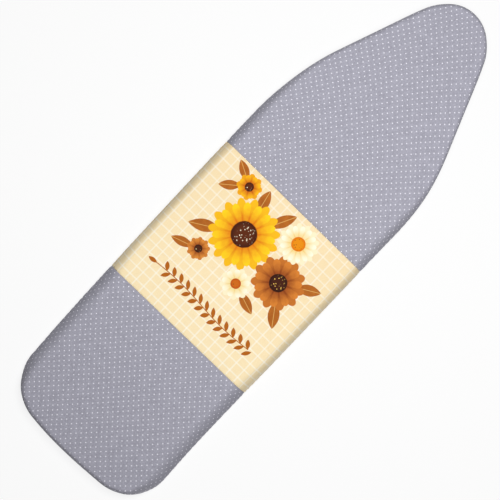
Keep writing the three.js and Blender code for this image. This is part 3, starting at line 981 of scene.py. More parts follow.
def sew_panel(name, node, slot, finishes, print_map, **stretch):
    points, flat, anchor = skin(seam_stations(**stretch))
    maps = {"cloth": flat, "print": print_map(flat, anchor)}
    piece = make_piece(name, points, grid_faces(*points.shape[:2]), maps, finishes)
    thicken(piece, cloth, inner=1)
    dress(piece, "cover", slot, node)
    width, length = spans(flat)
    area = min(flat_area(flat), width * length)
    print(name, "was cut from", round(width / mm), "by", round(length / mm), "mm, area", round(area, 3), "m2")


sew_panel("tail_cloth", "tail_panel", "dotted_cloth", grey_cotton, tail_dots, stop=rear_seam - cut_gap)
sew_panel("middle_cloth", "middle_panel", "checked_cloth", cream_cotton, line_map,
          start=rear_seam + cut_gap, stop=front_seam - cut_gap)
sew_panel("nose_cloth", "nose_panel", "dotted_cloth", grey_cotton, nose_dots, start=front_seam + cut_gap)

# %% [markdown]
# Behind each cross seam a twill tape covers the raw edges. It is the same section again, a little more
# than one cloth deeper and 22 mm wide. It could be left out, since the panels hide it, but the real cover
# isn't whole without it, and it is why the foam below has a shallow groove under each seam.

# %% Seam tapes
tape_width, tape_thickness, tape_depth = 22 * mm, 0.7 * mm, 1.2 * mm
tape_rows, twill_pitch = 15, 1.3 * mm


def twill(name, dark, pale):
    material, tree, surface = start_finish(name, roughness=0.88, sheen=0.1, shine=0.2)
    across, along, _ = split(tree, map_place(tree, "cloth"))
    rib = (across + along * 0.9).ripple(twill_pitch)
    fuzz = grain(tree, map_place(tree, "cloth"), 900.0)
    # The twill's ribs show in the colour too: their hollows are painted darker, as painted shade.
    paint = two_tones(tree, rib * 0.7 + fuzz * 0.3, dark, pale)
    end_finish(tree, surface, paint, rib + fuzz * 0.4, 0.15 * mm, 0.6)
    return material


tape_finish = twill("twill_tape", (138, 136, 149), (166, 164, 176))
for end, seam in (("rear", rear_seam), ("front", front_seam)):
    name = f"{end}_tape"
    start, stop = seam - tape_width / 2, seam + tape_width / 2
    line = stations(extra=np.linspace(start, stop, tape_rows), start=start, stop=stop)
    points, flat, _ = skin(line, tape_depth)
    piece = make_piece(name, points, grid_faces(*points.shape[:2]), {"cloth": flat}, [tape_finish])
    thicken(piece, tape_thickness)
    dress(piece, "cover", "binding_tape", f"{end}_seam_tape")
    print(name, "is", round(spans(flat)[1] / mm), "mm long")

# %% [markdown]
# The soft layer is sheet foam, 4 mm thick, that follows the cloth over the edge and stops at mid height.
# Solidify could make it from one sheet, but the foam is thinner under each tape, so it is a closed mesh
# between two grids, the lower one flat where it rests on the felt. Open cells make foam look like fine pores
# in a creamy ground: each pore is dented in the relief and painted darker, as painted shade in the cell.

# %% Foam
foam_depth, foam_inside, foam_low = 1.1 * mm, 5.1 * mm, 23 * mm
groove_half, groove_slope, groove_depth = 12.6 * mm, 1.2 * mm, 1.25 * mm
rest_height, rest_from, rest_full = 38.05 * mm, 35 * mm, 36.8 * mm


def closed_layer(name, outer, inner, flat, finish):
    """A solid layer between two grids whose first and last rows fold shut."""
    rows, columns = outer.shape[:2]
    start = rows * columns
    rims = []
    for column in (0, columns - 1):
        ids = np.arange(rows) * columns + column
        rim = np.stack([ids[:-1], ids[1:], ids[1:] + start, ids[:-1] + start], axis=-1)
        rims.append(rim if column else rim[:, ::-1])
    faces = np.concatenate([grid_faces(rows, columns), grid_faces(rows, columns, True, start), *rims])
    points = np.concatenate([outer.reshape(-1, 3), inner.reshape(-1, 3)])
    maps = {"cloth": np.concatenate([flat.reshape(-1, 2)] * 2)}
    return face_outward(make_piece(name, points, faces, maps, [finish]))


def foam_finish():
    material, tree, surface = start_finish("open_cell_foam", roughness=0.97, sheen=0.0, shine=0.15)
    place = object_place(tree)
    pore = spots(tree, place, 620.0, 0.9).rise(0.12, 0.5)
    ground = two_tones(tree, grain(tree, place, 14.0, 3.0), (238, 228, 196), (230, 216, 176))
    # The pores are painted darker: painted shade in the open cells.
    paint = mix(tree, pore.inverse() * 0.35, ground, colour(170, 152, 112))
    end_finish(tree, surface, paint, pore, 0.3 * mm, 0.6)
    return material


line = seam_stations(4 * mm)
groove = sum(smooth(groove_half - np.abs(line["x"] - seam), 0, groove_slope) for seam in seams)
outer, flat, _ = skin(line, foam_depth + groove_depth * groove, gathers=False, low=foam_low)
inner, _, _ = skin(line, foam_inside - seam_sink(line["x"]), gathers=False, low=foam_low)
inner_height = inner[..., 2].copy()
inner[..., 2] += smooth(inner_height, rest_from, rest_full) * np.maximum(0, rest_height - inner_height)
foam = closed_layer("foam_pad", outer, inner, flat, foam_finish())
dress(foam, "cover", "padding_foam", "foam_layer")
print("foam pad has", len(foam.data.polygons), "faces")

# %% [markdown]
# Under the foam lies a firm felt, cut to the flat of the board. It is what is seen from below, in the
# opening where the board goes. Solidify could thicken a sheet, but its lower face is a little uneven, so it
# is a closed layer like the foam. Needled felt has no weave: its look is short fibres lying all ways, so
# the finish is several stretched noises laid over each other.

# %% Felt
felt_top, felt_thickness, felt_lift = 38.0 * mm, 3 * mm, 0.15 * mm
felt_edge, felt_edge_nose = 27 * mm, 12 * mm
felt_unevenness, felt_turn_aside = 0.25, 1.3


def felt_finish():
    material, tree, surface = start_finish("needled_felt", roughness=0.98, sheen=0.25, shine=0.1)
    place = object_place(tree)
    fibre = None
    for degrees, stretch in ((10, 5.0), (55, 6.0), (100, 5.0), (145, 6.0)):
        turn = {"Vector": place, "Rotation": (0, 0, math.radians(degrees)), "Scale": (1.0, 1 / stretch, 1.0)}
        strand = grain(tree, field(tree, "ShaderNodeMapping", turn, vector_type="TEXTURE"), 190.0, 2.0, 0.6)
        fibre = strand if fibre is None else fibre.sum("MAXIMUM", strand)
    fibre = fibre.rise(0.5, 0.78)
    cloud = grain(tree, place, 22.0, 3.0)
    ground = two_tones(tree, fibre * 0.7 + cloud * 0.3, (190, 184, 172), (222, 218, 208))
    fleck = spots(tree, place, 160.0, 1.0).rise(0.05, 0.12).inverse()
    end_finish(tree, surface, mix(tree, fleck * 0.5, ground, colour(140, 134, 126)), fibre, 0.35 * mm, 0.7)
    return material


def felt_grid(height, columns=26):
    line = stations(4 * mm)
    share = np.linspace(-1, 1, columns)
    inset = felt_edge + (felt_edge_nose - felt_edge) * line["nose"]
    x = (line["x"] - inset * line["nx"])[:, None] + 0 * share
    y = (line["y"] - inset * line["ny"])[:, None] * share
    return askew(np.stack([x, y, height + 0 * x], axis=-1))


upper, lower = felt_grid(felt_top), felt_grid(felt_top - felt_thickness)
lower[..., 2] -= felt_unevenness * softness(lower[..., 0], lower[..., 1] * felt_turn_aside) - felt_lift
flat = upper[..., :2]
felt = dress(closed_layer("felt_pad", upper, lower, flat, felt_finish()), "cover", "wool_felt", "felt_layer")
flat_area(flat)
print("felt cut", " by ".join(str(round(size / mm)) for size in spans(flat)), "mm")

# %% [markdown]
# The hem is a tube of the same dotted cotton, gathered on its elastic like a hair band. It is open for
# 44 mm in the middle of the tail, where the elastic was threaded in. A tube swept along a curve would
# be smooth, so the mesh is built ring by ring and its small folds follow the pleats of the lip above.

# %% Gathered hem
casing_height, casing_width, hem_wall, hem_strip = 11 * mm, 14 * mm, 0.7 * mm, 40 * mm
mouth_half, hem_fullness, hem_turn = 21.8 * mm, 1.05, 6.3 * mm
fold_count, fold_sway, lip_drop = 430, 1.4 * mm, 2.0 * mm
fold_depth, swell_depth, swell_shift = 0.24, 0.05, 0.3
hem_foot, fold_foot = 0.15 * mm, 0.5 * mm


def hem_loop(step, mouth, inset=lip_reach):
    """Stations all round the hem, from one side of the opening at the tail to the other."""
    line = stations(step)
    left = (line["y"] - inset * line["ny"] >= mouth) | (line["x"] > 0)
    loop = {key: np.concatenate([value[left], value[left][::-1][1:]]) for key, value in line.items()}
    hand = np.concatenate([np.ones(left.sum()), -np.ones(left.sum() - 1)])
    loop.update({key: loop[key] * hand for key in ("y", "ny", "round")})
    return loop


def hem_tube(loop, sides=20):
    """Points of the gathered tube and its flat pattern."""
    around = np.linspace(0, 2 * math.pi, sides + 1)[None, :]
    x, y, nx, ny, gone = (loop[key][:, None] for key in ("x", "y", "nx", "ny", "round"))
    full, lift = fullness(gone, nx), pleat(gone)
    fold = pleat(gone + fold_sway * np.sin(2 * around + 0.7), count=fold_count, slip=0.25)
    swell = 0.5 + 0.5 * wander(swell_waves, gone + swell_shift)
    shrink = 1 - fold_depth * (1 - fold) - swell_depth * swell
    inward = lip_reach + casing_width / 2 * shrink * np.cos(around)
    rise = np.sin(around)
    z = casing_height / 2 * (1 + shrink * rise) - lip_drop * full * lift * np.clip(rise, 0, 1) ** 2
    z = np.maximum(z, hem_foot + fold_foot * (1 - fold) * np.clip(-rise, 0, 1))
    flat = np.stack([hem_fullness * gone + 0 * around, 0 * gone + around * hem_turn], axis=-1)
    return askew(np.stack([x - inward * nx, y - inward * ny, z], axis=-1)), flat


points, flat = hem_tube(hem_loop(1.7 * mm, mouth_half))
maps = {"cloth": flat, "print": even_dots(flat)}
hem = make_piece("gathered_hem", points, grid_faces(*points.shape[:2]), maps, grey_cotton)
thicken(hem, hem_wall, inner=1)
dress(hem, "cover", "dotted_cloth", "hem_casing")

# %% [markdown]
# A flat elastic runs inside the hem. Its ends lap in the open mouth and are sewn together there, which
# is the only place where it shows. A curve with a bevel could make it, but a flat strap has to stand on its
# edge all the way. So one rounded section is moved along the path, and steps inwards by a little more than
# its own thickness where it passes beside its other end.

# %% Elastic band
elastic_inset, elastic_thickness, elastic_height = 52.12 * mm, 1.2 * mm, 5 * mm
lapped = elastic_inset + elastic_thickness + 0.3 * mm
lap_places = [y * mm for y in (-14, -7, 0, 7, 14)]
lap_start, lap_end, step_in = 21 * mm, 28 * mm, 0.75 * mm


def flat_band(centre, across, width, thickness, corners=4):
    """Rings of a band with round edges: centre line, the direction of its thickness, and z for its width."""
    r = thickness / 2
    ring = []
    for hand, first in ((1, 0.0), (-1, math.pi)):
        for turn in first + np.linspace(0, math.pi, corners + 1):
            ring.append((math.cos(turn) * r, math.sin(turn) * r + hand * (width / 2 - r)))
    ring = np.array(ring)
    up = np.array([0, 0, 1.0])
    return centre[:, None, :] + across[:, None, :] * ring[None, :, :1] + up * ring[None, :, 1:]


def close_rings(name, rings, maps, finish):
    """A solid from rings in a row, closed at both ends."""
    count, size = rings.shape[:2]
    ids = np.arange(count * size).reshape(count, size)
    after = np.roll(ids, -1, axis=1)
    quads = np.stack([ids[:-1], ids[1:], after[1:], after[:-1]], axis=-1).reshape(-1, 4)
    faces = [*quads, ids[0], ids[-1][::-1]]
    return face_outward(make_piece(name, rings, faces, maps, [finish], weld=0.001 * mm))


def ribbed(name, dark, pale, rib, weft, roughness=0.85):
    """Knitted or woven elastic: ribs along it and fine threads across, the grooves painted darker as painted
    shade.
    """
    material, tree, surface = start_finish(name, roughness, sheen=0.1, shine=0.25)
    across, along, _ = split(tree, map_place(tree, "cloth"))
    ribs, threads = across.ripple(rib), along.ripple(weft)
    height = ribs * 0.65 + threads * ribs.inverse() * 0.5
    fuzz = grain(tree, map_place(tree, "cloth"), 700.0)
    # The colour follows the relief: the grooves are painted darker, as painted shade.
    paint = two_tones(tree, height * 0.75 + fuzz * 0.25, dark, pale)
    end_finish(tree, surface, paint, height, 0.25 * mm, 0.7)
    return material


def at_tail(y, inset):
    """A row x, y, nx, ny, inset where the band lies at a given y of the tail."""
    return *on_arc(tail, tail_radius, math.pi - math.asin(y / (tail_radius - inset))), inset


loop = hem_loop(3 * mm, lap_end, inset=elastic_inset)
path = [at_tail(y, elastic_inset) for y in (*lap_places, lap_start)]
path += [(*place, elastic_inset) for place in zip(loop["x"], loop["y"], loop["nx"], loop["ny"])]
path += [at_tail(-lap_start, elastic_inset + step_in)] + [at_tail(y, lapped) for y in lap_places]
path = np.array(path)
inset = path[:, 4:] + elastic_thickness / 2
centre = askew(np.concatenate([path[:, :2] - inset * path[:, 2:4], 0 * inset + casing_height / 2], axis=1))
across = np.concatenate([path[:, 2:4], 0 * inset], axis=1)
rings = flat_band(centre, across, elastic_height, elastic_thickness)
gone = run_along(centre[:, 0], centre[:, 1])
flat = np.stack([rings[..., 2], np.repeat(gone[:, None], rings.shape[1], axis=1)], axis=-1)
elastic_finish = ribbed("knitted_elastic", (206, 204, 197), (244, 243, 238), 1.0 * mm, 1.3 * mm)
band = close_rings("elastic_band", rings, {"cloth": flat}, elastic_finish)
dress(band, "cover", "white_elastic", "hem_elastic")
print("elastic is", round(gone[-1] / mm), "mm long when drawn round the board")

# %% [markdown]
# Three straps pull the two long edges of the cover together under the board. Each has a hook half, sewn
# to the right of the hem, and a loop half, sewn to the left, which lap in the middle. Webbing is a flat
# woven band with slightly thicker edges and rounded, heat-sealed ends. A box with a bevel could stand for
# it, but rings along its length let it thin out at the seam. The solids' boxes say where each one lies.

# %% Straps
strap_halves = [(name, half) for name in ("front", "middle", "rear") for half in ("hook", "loop")]
strap_finish = ribbed("strap_webbing", (38, 37, 42), (78, 76, 84), 2.1 * mm, 1.25 * mm, roughness=0.8)
end_round, end_narrow, root_round, root_least = 3 * mm, 2.6 * mm, 0.75 * mm, 0.08
edge_share, edge_thickness, hollow = 0.35, 0.6, 0.16
near_end = np.array([0.0, 0.4, 1.0, 1.8, 3.0]) * mm


def node_box(node):
    """The lowest and the highest corner of a solid."""
    return [Vector(corner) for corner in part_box(node)]


def quarter_round(far, radius):
    """Rises from 0 to 1 over a radius, as a quarter of a circle does."""
    return np.sqrt(np.clip(1 - (1 - np.clip(far / radius, 0, 1)) ** 2, 0, 1))


def webbing_ring(width, thick):
    """The band's section: flat and a little hollow, with two round edges."""
    edge = thick / 2
    ring = []
    for hand in (1, -1):
        for share in np.linspace(-1, 1, 9):
            crown = edge_thickness if abs(share) == 1 else 1 - hollow * (1 - share ** 2)
            ring.append((hand * share * (width / 2 - edge_share * edge), hand * edge * crown))
        ring.append((hand * width / 2, 0.0))
    return np.array(ring)


def strap(name, half):
    low, high = node_box(f"{name}_{half}_strap")
    width, mid_x, mid_z = high.x - low.x, (low.x + high.x) / 2, (low.z + high.z) / 2
    ys = np.unique(np.concatenate([np.arange(low.y, high.y, 2 * mm), high.y - near_end, low.y + near_end]))
    from_low, from_high = ys - low.y, high.y - ys
    free, root = (from_low, from_high) if half == "loop" else (from_high, from_low)
    narrow = (1 - quarter_round(free, end_round)) * end_narrow
    flatten = quarter_round(root, root_round) * (1 - root_least) + root_least
    ring = webbing_ring(width, high.z - low.z)
    x = mid_x + ring[None, :, 0] * (1 - narrow / (width / 2))[:, None]
    y = ys[:, None] + 0 * x
    z = mid_z + ring[None, :, 1] * flatten[:, None]
    maps = {"cloth": np.stack([x - mid_x, y], axis=-1)}
    piece = close_rings(f"{name}_{half}_webbing", np.stack([x, y, z], axis=-1), maps, strap_finish)
    return dress(piece, f"{name}_{half}_half", "strap_webbing", f"{name}_{half}_strap")


webbing = [strap(name, half) for name, half in strap_halves]
print(len(webbing), "strap halves")

# %% [markdown]
# Each half ends in a patch of fastener tape: stiff hooks on one, a pile of soft loops on the other. Both
# are the same idea, a short bent thread repeated over a woven ground, so one Geometry Nodes tree makes
# them. Particle hair could too, but a tree ends in real faces, which the part needs. Its inputs are the
# patch's size, how many threads it has each way, how far a thread bends and how much it leans at random. A
# thread has few faces, because there are hundreds of them.

# %% Fastener tree
def vector_of(tree, x, y, z):
    return field(tree, "ShaderNodeCombineXYZ", {"X": x, "Y": y, "Z": z})


def shaken(tree, most, size, seed):
    """A random vector, up to most either way on each axis, times a size."""
    span = {"Min": tuple(-v for v in most), "Max": most, "Seed": seed}
    shake = field(tree, "FunctionNodeRandomValue", span, data_type="FLOAT_VECTOR")
    return field(tree, "ShaderNodeVectorMath", {0: shake, "Scale": size}, operation="SCALE")


def fastener_tree():
    tree = bpy.data.node_groups.new("fastener_threads", "GeometryNodeTree")
    wanted = [("Ground", "Geometry", None), ("Width", "Float", 19 * mm), ("Length", "Float", 53 * mm),
              ("Across", "Int", 12), ("Along", "Int", 33), ("Height", "Float", 0.5 * mm),
              ("Thread", "Float", 0.09 * mm), ("Bend", "Float", 4.0), ("Lean", "Float", 0.2),
              ("Place", "Vector", None), ("Facing", "Float", 1.0), ("Seed", "Int", 3),
              ("Finish", "Material", None)]
    ask = tree_sockets(tree, wanted, [("Made", "Geometry")])
    half_height = ask["Height"] * 0.5
    grid = field(tree, "GeometryNodeMeshGrid", {"Size X": ask["Width"], "Size Y": ask["Length"],
                                                "Vertices X": ask["Across"], "Vertices Y": ask["Along"]})
    arc = field(tree, "GeometryNodeCurveArc", {"Resolution": 6, "Radius": half_height,
                                               "Sweep Angle": ask["Bend"], "Start Angle": -0.6})
    ring = field(tree, "GeometryNodeCurvePrimitiveCircle", {"Resolution": 3, "Radius": ask["Thread"]})
    bent = field(tree, "GeometryNodeCurveToMesh", {"Curve": arc, "Profile Curve": ring})
    lift = vector_of(tree, 0.0, 0.0, half_height)
    upright = field(tree, "GeometryNodeTransform", {"Geometry": bent, "Rotation": (math.pi / 2, 0, 0),
                                                    "Translation": lift})
    lean = shaken(tree, (1, 1, 1.2), ask["Lean"], ask["Seed"])
    rows = field(tree, "GeometryNodeInstanceOnPoints",
                 {"Points": grid, "Instance": upright, "Rotation": lean})
    real = field(tree, "GeometryNodeRealizeInstances", {"Geometry": rows})
    turn = vector_of(tree, ask["Facing"].sum("MULTIPLY_ADD", -math.pi / 2, math.pi / 2), 0.0, 0.0)
    placed = field(tree, "GeometryNodeTransform",
                   {"Geometry": real, "Translation": ask["Place"], "Rotation": turn})
    joined = put(tree, "GeometryNodeJoinGeometry")
    for part in (placed, ask["Ground"]):
        plug(tree, part, joined.inputs[0])
    whole = Field(tree, joined.outputs[0])
    dressed = field(tree, "GeometryNodeSetMaterial", {"Geometry": whole, "Material": ask["Finish"]})
    put(tree, "NodeGroupOutput", {0: dressed})
    return tree


def grow(name, base, tree, values):
    """Runs a tree on a base mesh with the given inputs and keeps the result as a plain mesh."""
    step = base.modifiers.new("grow", "NODES")
    step.node_group = tree
    for item in tree.interface.items_tree:
        if item.item_type == "SOCKET" and item.in_out == "INPUT" and item.name in values:
            step[item.identifier] = values[item.name]
    graph = bpy.context.evaluated_depsgraph_get()
    ready = base.evaluated_get(graph)
    mesh = bpy.data.meshes.new_from_object(ready, preserve_all_data_layers=True, depsgraph=graph)
    mesh.name = name
    made = bpy.data.objects.new(name, mesh)
    scene.collection.objects.link(made)
    bpy.data.objects.remove(base)
    return made


fastener_threads = fastener_tree()
print("fastener tree has", len(fastener_threads.nodes), "nodes")

# %% [markdown]
# The ground of each patch is a thin woven plate with round corners. A bevelled box could make it, but four
# rings, two of them drawn in a little, do it with fewer faces. The tree then grows threads on its face: on
# the hook tape thick ones that bend like a crook and stand nearly upright, on the loop tape thin ones that
# close to loops and lean all ways.

# %% Fastener patches
patch_ground, patch_corner, patch_soft = 0.45 * mm, 1.5 * mm, 0.15 * mm
thread_height, bare_rim = 0.5 * mm, 1.6 * mm
ground_pitch = 0.9 * mm
hooks = {"Across": 12, "Along": 33, "Thread": 0.10 * mm, "Bend": 3.6, "Lean": 0.08, "Facing": 1.0}
loops = {"Across": 14, "Along": 38, "Thread": 0.05 * mm, "Bend": 5.6, "Lean": 0.5, "Facing": -1.0}


def fastener_finish(name, dark, pale, roughness, shine):
    material, tree, surface = start_finish(name, roughness, sheen=0.15, shine=shine)
    place = object_place(tree)
    across, along, _ = split(tree, place)
    weave = woven(tree, across, along, ground_pitch)
    fuzz = grain(tree, place, 1400.0)
    # The woven ground's hollows are painted darker, as painted shade; the fuzz is an uneven tone.
    paint = two_tones(tree, weave * 0.5 + fuzz * 0.5, dark, pale)
    end_finish(tree, surface, paint, weave + fuzz * 0.6, 0.12 * mm, 0.6)
    return material


hook_finish = fastener_finish("hook_tape", (30, 29, 34), (66, 65, 72), 0.55, 0.5)
loop_finish = fastener_finish("loop_tape", (42, 41, 46), (88, 86, 94), 0.95, 0.2)


def rounded_plate(name, low, high, radius, finish):
    """A thin plate with round corners and softened edges."""
    mid_x, mid_y = (low.x + high.x) / 2, (low.y + high.y) / 2
    half_x, half_y = (high.x - low.x) / 2 - radius, (high.y - low.y) / 2 - radius
    ring = []
    for quarter, (hand_x, hand_y) in enumerate(((1, 1), (-1, 1), (-1, -1), (1, -1))):
        for turn in np.linspace(0, math.pi / 2, 6) + quarter * math.pi / 2:
            ring.append((mid_x + hand_x * half_x + radius * math.cos(turn),
                         mid_y + hand_y * half_y + radius * math.sin(turn)))
    middle = np.array(ring).mean(axis=0)
    away = ring - middle
    soft = min(patch_soft, (high.z - low.z) / 3)
    rings = []
    for z, shrink in ((low.z, soft), (low.z + soft, 0), (high.z - soft, 0), (high.z, soft)):
        level = middle + away * (1 - shrink / np.abs(away).max())
        rings.append(np.column_stack([level, np.full(len(ring), z)]))
    return close_rings(name, np.array(rings), {}, finish)


def patch(name, half):
    low, high = node_box(f"{name}_{half}_patch")
    size, middle = high - low, ((low.x + high.x) / 2, (low.y + high.y) / 2)
    foot, face, finish, threads = low.z, low.z + patch_ground, hook_finish, hooks
    if half == "loop":
        foot, face, finish, threads = high.z, high.z - patch_ground, loop_finish, loops
    plate_low, plate_high = Vector((low.x, low.y, min(foot, face))), Vector((high.x, high.y, max(foot, face)))
    base = rounded_plate(f"{name}_{half}_base", plate_low, plate_high, patch_corner, finish)
    values = {"Width": size.x - 2 * bare_rim, "Length": size.y - 2 * bare_rim, "Height": thread_height,
              "Seed": 3, "Place": (*middle, face), "Finish": finish, **threads}
    piece = grow(f"{name}_{half}_fastener", base, fastener_threads, values)
    return dress(piece, f"{name}_{half}_half", "fastener_tape", f"{name}_{half}_patch")


patches = [patch(name, half) for name, half in strap_halves]
face_counts = [len(piece.data.polygons) for piece in patches[:2]]
print("one hook patch has", face_counts[0], "faces and one loop patch", face_counts[1])

# %% [markdown]
# A small satin care label hangs under the lip near the left tail corner. It is left bare. The ribbon is
# folded once, its two ends sewn to the lip, and the fold droops a little. A folded ribbon is one sheet,
# so a single path out and back gives its shape, and Solidify gives it its thin body.

# %% Care label
ribbon_thickness, ribbon_gap, ribbon_droop, ribbon_ripple = 0.14 * mm, 0.16 * mm, 1.3 * mm, 0.12 * mm
satin_pitch, under_lip, droop_power, ripple_turn = 0.45 * mm, 0.08 * mm, 2.2, 7.0


def satin_finish():
    material, tree, surface = start_finish("label_satin", roughness=0.45, sheen=0.3, shine=0.4)
    _, along, _ = split(tree, map_place(tree, "cloth"))
    threads = along.ripple(satin_pitch)
    slub = grain(tree, map_place(tree, "cloth"), 260.0, 3.0)
    # Slubs give an uneven tone; the hollows between the threads are painted darker, as painted shade.
    paint = two_tones(tree, threads * 0.4 + slub * 0.6, (226, 223, 214), (246, 244, 238))
    end_finish(tree, surface, paint, threads, 0.06 * mm, 0.4)
    return material


low, high = node_box("care_label")
out, fold = np.linspace(0, 1, 12), np.linspace(-math.pi / 2, math.pi / 2, 7)[1:-1]
top_z = high.z - under_lip
leaf_y = high.y - out * (high.y - low.y - ribbon_gap)
leaf_z = top_z - ribbon_droop * out ** droop_power
fold_z = leaf_z[-1] - ribbon_gap - ribbon_gap * np.sin(fold)
path_y = np.concatenate([leaf_y, leaf_y[-1] - ribbon_gap * np.cos(fold), leaf_y[::-1]])
path_z = np.concatenate([leaf_z, fold_z, leaf_z[::-1] - 2 * ribbon_gap])
share = np.linspace(0, 1, 13)
x = low.x + share[None, :] * (high.x - low.x) + 0 * path_y[:, None]
z = path_z[:, None] + ribbon_ripple * np.sin(share * ripple_turn)[None, :]
points = np.stack([x, path_y[:, None] + 0 * x, z], axis=-1)
run = run_along(path_y, path_z)
maps = {"cloth": np.stack([x - low.x, run[:, None] + 0 * x], axis=-1)}
label = make_piece("care_label_ribbon", points, grid_faces(*x.shape), maps, [satin_finish()], weld=0.001 * mm)
thicken(label, ribbon_thickness)
dress(label, "cover", "label_satin", "care_label")
print("label ribbon is", round(float(run[-1]) / mm, 1), "mm long before it is folded")

# %% [markdown]
# Stitches repeat along a line, so a second tree makes them: it spaces points along the sewn line and
# lays one short, plump thread at each, turned to follow the line, with a little unevenness. An array along
# a curve could do it too, but the tree takes many lines at once. Every seam, hem, strap and patch uses it
# with its own sizes and thread.

# %% Stitch tree
def stitch_tree():
    tree = bpy.data.node_groups.new("stitches", "GeometryNodeTree")
    wanted = [("Sewn line", "Geometry", None), ("Stitch", "Float", 2.6 * mm), ("Pitch", "Float", 3.4 * mm),
              ("Thread", "Float", 0.5 * mm), ("Uneven", "Float", 0.06), ("Seed", "Int", 5),
              ("Finish", "Material", None)]
    ask = tree_sockets(tree, wanted, [("Made", "Geometry")])
    curve = field(tree, "GeometryNodeMeshToCurve", {"Mesh": ask["Sewn line"]})
    dots = put(tree, "GeometryNodeCurveToPoints", {"Curve": curve, "Length": ask["Pitch"]}, mode="LENGTH")
    tangent = Field(tree, dots.outputs["Tangent"])
    along = field(tree, "FunctionNodeAlignRotationToVector", {"Vector": tangent}, axis="X")
    shake = shaken(tree, (1, 1, 1), ask["Uneven"], ask["Seed"])
    turn = field(tree, "FunctionNodeRotateRotation",
                 {"Rotation": along, "Rotate By": shake}, rotation_space="LOCAL")
    half_thread = ask["Thread"] * 0.5
    laid = field(tree, "GeometryNodeInstanceOnPoints", {
        "Points": Field(tree, dots.outputs["Points"]), "Rotation": turn,
        "Instance": field(tree, "GeometryNodeMeshUVSphere", {"Segments": 6, "Rings": 4, "Radius": 1.0}),
        "Scale": vector_of(tree, ask["Stitch"] * 0.5, half_thread, half_thread)})
    real = field(tree, "GeometryNodeRealizeInstances", {"Geometry": laid})
    plump = field(tree, "GeometryNodeSetShadeSmooth", {"Geometry": real})
    dressed = field(tree, "GeometryNodeSetMaterial", {"Geometry": plump, "Material": ask["Finish"]})
    put(tree, "NodeGroupOutput", {0: dressed})
    return tree


stitches = stitch_tree()
print("stitch tree has", len(stitches.nodes), "nodes")

# %% [markdown]
# Sewing thread is spun from two or three plies, so its light and dark run slanting along it: the hollows
# between the plies are painted darker and the crests paler, as painted shade, over a relief that follows the
# same twist. The thread of each seam is a shade off the cloth that it holds. One flat colour would do from a
# step away, but the twist shows where the label or a strap is looked at closely.

# %% Thread
twist_pitch = 0.5 * mm


def thread_finish(name, dark, pale):
    material, tree, surface = start_finish(name, roughness=0.6, sheen=0.2, shine=0.35)
    across, along, up = split(tree, object_place(tree))
    twist = (across + along + up).ripple(twist_pitch)
    # The twist's hollows are painted darker and its crests paler, as painted shade.
    end_finish(tree, surface, two_tones(tree, twist, dark, pale), twist, 0.05 * mm, 0.5)
    return material


grey_thread = thread_finish("grey_thread", (128, 126, 140), (156, 154, 168))
cream_thread = thread_finish("cream_thread", (222, 196, 146), (246, 226, 182))
black_thread = thread_finish("black_thread", (66, 65, 70), (104, 102, 110))
white_thread = thread_finish("white_thread", (214, 212, 206), (246, 245, 240))


def sew(name, body, slot, lines, finish, stitch=2.6, pitch=3.4, thread=0.5):
    """Stitches along lines, with sizes in mm. A line is an array of points, closed if its ends meet."""
    points, edges = [], []
    for row in lines:
        closed = np.linalg.norm(row[0] - row[-1]) < hair
        row = row[:-1] if closed else row
        first, count = len(points), len(row)
        points += row.tolist()
        edges += [(first + i, first + i + 1) for i in range(count - 1)]
        if closed:
            edges.append((first + count - 1, first))
    mesh = bpy.data.meshes.new(name + "_line")
    mesh.from_pydata(points, edges, [])
    base = bpy.data.objects.new(name + "_line", mesh)
    scene.collection.objects.link(base)
    values = {"Stitch": stitch * mm, "Pitch": pitch * mm, "Thread": thread * mm, "Uneven": 0.05, "Seed": 5,
              "Finish": finish}
    return dress(grow(name, base, stitches, values), body, slot)


print("four threads ready")

# %% [markdown]
# On the real cover a row of stitches runs along each side of both cross seams, and one runs round the hem.
# They could be drawn on the cloth's finish, but from near the edge a thread stands proud, so they lie as
# small threads just over the same skin that the panels follow.

# %% Sew the seams and the hem
stitch_off_seam, thread_proud, hem_thread_proud, hem_column = 2.6 * mm, 0.06 * mm, 0.08 * mm, 3


def across_cover(x):
    """The line over the cover at one x, from hem to hem, just proud of the cloth."""
    return skin(stations(extra=[x], start=x, stop=x), depth=-thread_proud)[0][0]


made = []
for name, seam, grey_side in (("rear", rear_seam, -1), ("front", front_seam, 1)):
    for shade, slot, thread, hand in (("grey", "dotted_cloth", grey_thread, grey_side),
                                      ("cream", "checked_cloth", cream_thread, -grey_side)):
        row = across_cover(seam + hand * stitch_off_seam)
        made.append(sew(f"{name}_seam_{shade}_thread", "cover", slot, [row], thread))
under = skin(stations(1.6 * mm), depth=-hem_thread_proud)[0]
hem_row = np.concatenate([under[:, -1 - hem_column], under[:, hem_column][::-1]])
made.append(sew("hem_thread", "cover", "dotted_cloth", [hem_row], grey_thread, stitch=2.4, pitch=3.2))
print("stitches sewn:", sum(len(piece.data.polygons) for piece in made) // 24)

# %% [markdown]
# Each patch is sewn on in a box, which shows on both faces of the strap, and each strap is held at the hem
# by two rows. Two pairs of rows hold the lapped ends of the elastic, and one row the label. Bar tacks would
# hold as well, but plain rows are what such covers have most often, and the same tree makes them.

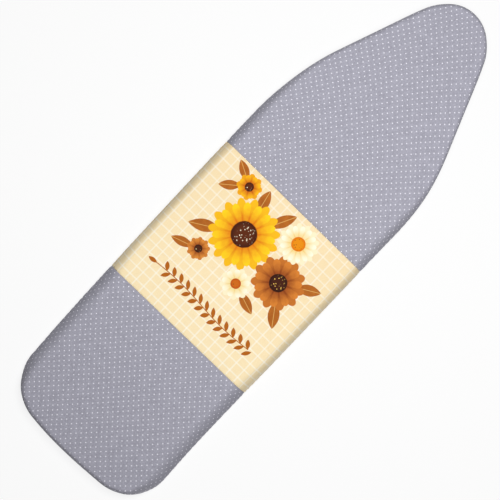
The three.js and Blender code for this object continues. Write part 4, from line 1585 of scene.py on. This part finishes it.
# %% Sew the straps, the elastic and the label
patch_margin, strap_margin, thread_lift, patch_thread_lift = 1.0 * mm, 2 * mm, 0.02 * mm, 0.47 * mm
root_rows, lap_rows = (3.0 * mm, 6.0 * mm), (-10.5 * mm, -7.5 * mm, 7.5 * mm, 10.5 * mm)
off_band, band_low, band_high = 0.03 * mm, 3.4, 7.6
label_margin, label_row_in, label_row_down = 1 * mm, 1.6 * mm, 0.62 * mm


def row_along(x_from, x_to, y, z, count):
    """A straight line of points along x."""
    return np.column_stack([np.linspace(x_from, x_to, count), np.full(count, y), np.full(count, z)])


def box_line(low, high, z, steps=24):
    x0, x1, y0, y1 = low.x + patch_margin, high.x - patch_margin, low.y + patch_margin, high.y - patch_margin
    turns = [(x0, y0), (x1, y0), (x1, y1), (x0, y1), (x0, y0)]
    sides = [np.linspace(a, b, steps)[:-1] for a, b in zip(turns, turns[1:])]
    flat_line = np.concatenate([*sides, [turns[0]]])
    return np.column_stack([flat_line, np.full(len(flat_line), z)])


for name, half in strap_halves:
    low, high = node_box(f"{name}_{half}_strap")
    patch_low, patch_high = node_box(f"{name}_{half}_patch")
    outside, inside = low.z - thread_lift, patch_low.z + patch_thread_lift
    root, inward = low.y, 1
    if half == "loop":
        outside, inside = high.z + thread_lift, patch_high.z - patch_thread_lift
        root, inward = high.y, -1
    rows = [box_line(patch_low, patch_high, z) for z in (outside, inside)]
    for step in root_rows:
        for z in (low.z - thread_lift, high.z + thread_lift):
            rows.append(row_along(low.x + strap_margin, high.x - strap_margin, root + inward * step, z, 12))
    sew(f"{name}_{half}_thread", f"{name}_{half}_half", "strap_webbing", rows, black_thread,
        stitch=2.0, pitch=2.6, thread=0.4)

rows = []
for y in lap_rows:
    x, tail_y, nx, ny, inset = at_tail(y, lapped)
    inset += elastic_thickness + off_band
    upright = [(x - inset * nx, tail_y - inset * ny, z * mm) for z in np.linspace(band_low, band_high, 5)]
    rows.append(askew(np.array(upright)))
sew("elastic_thread", "cover", "white_elastic", rows, white_thread, stitch=1.5, pitch=1.9, thread=0.4)
low, high = node_box("care_label")
label_row = row_along(low.x + label_margin, high.x - label_margin,
                      high.y - label_row_in, high.z - label_row_down, 20)
sew("label_thread", "cover", "label_satin", [label_row], white_thread, stitch=1.8, pitch=2.3, thread=0.35)
print("straps, elastic and label sewn")
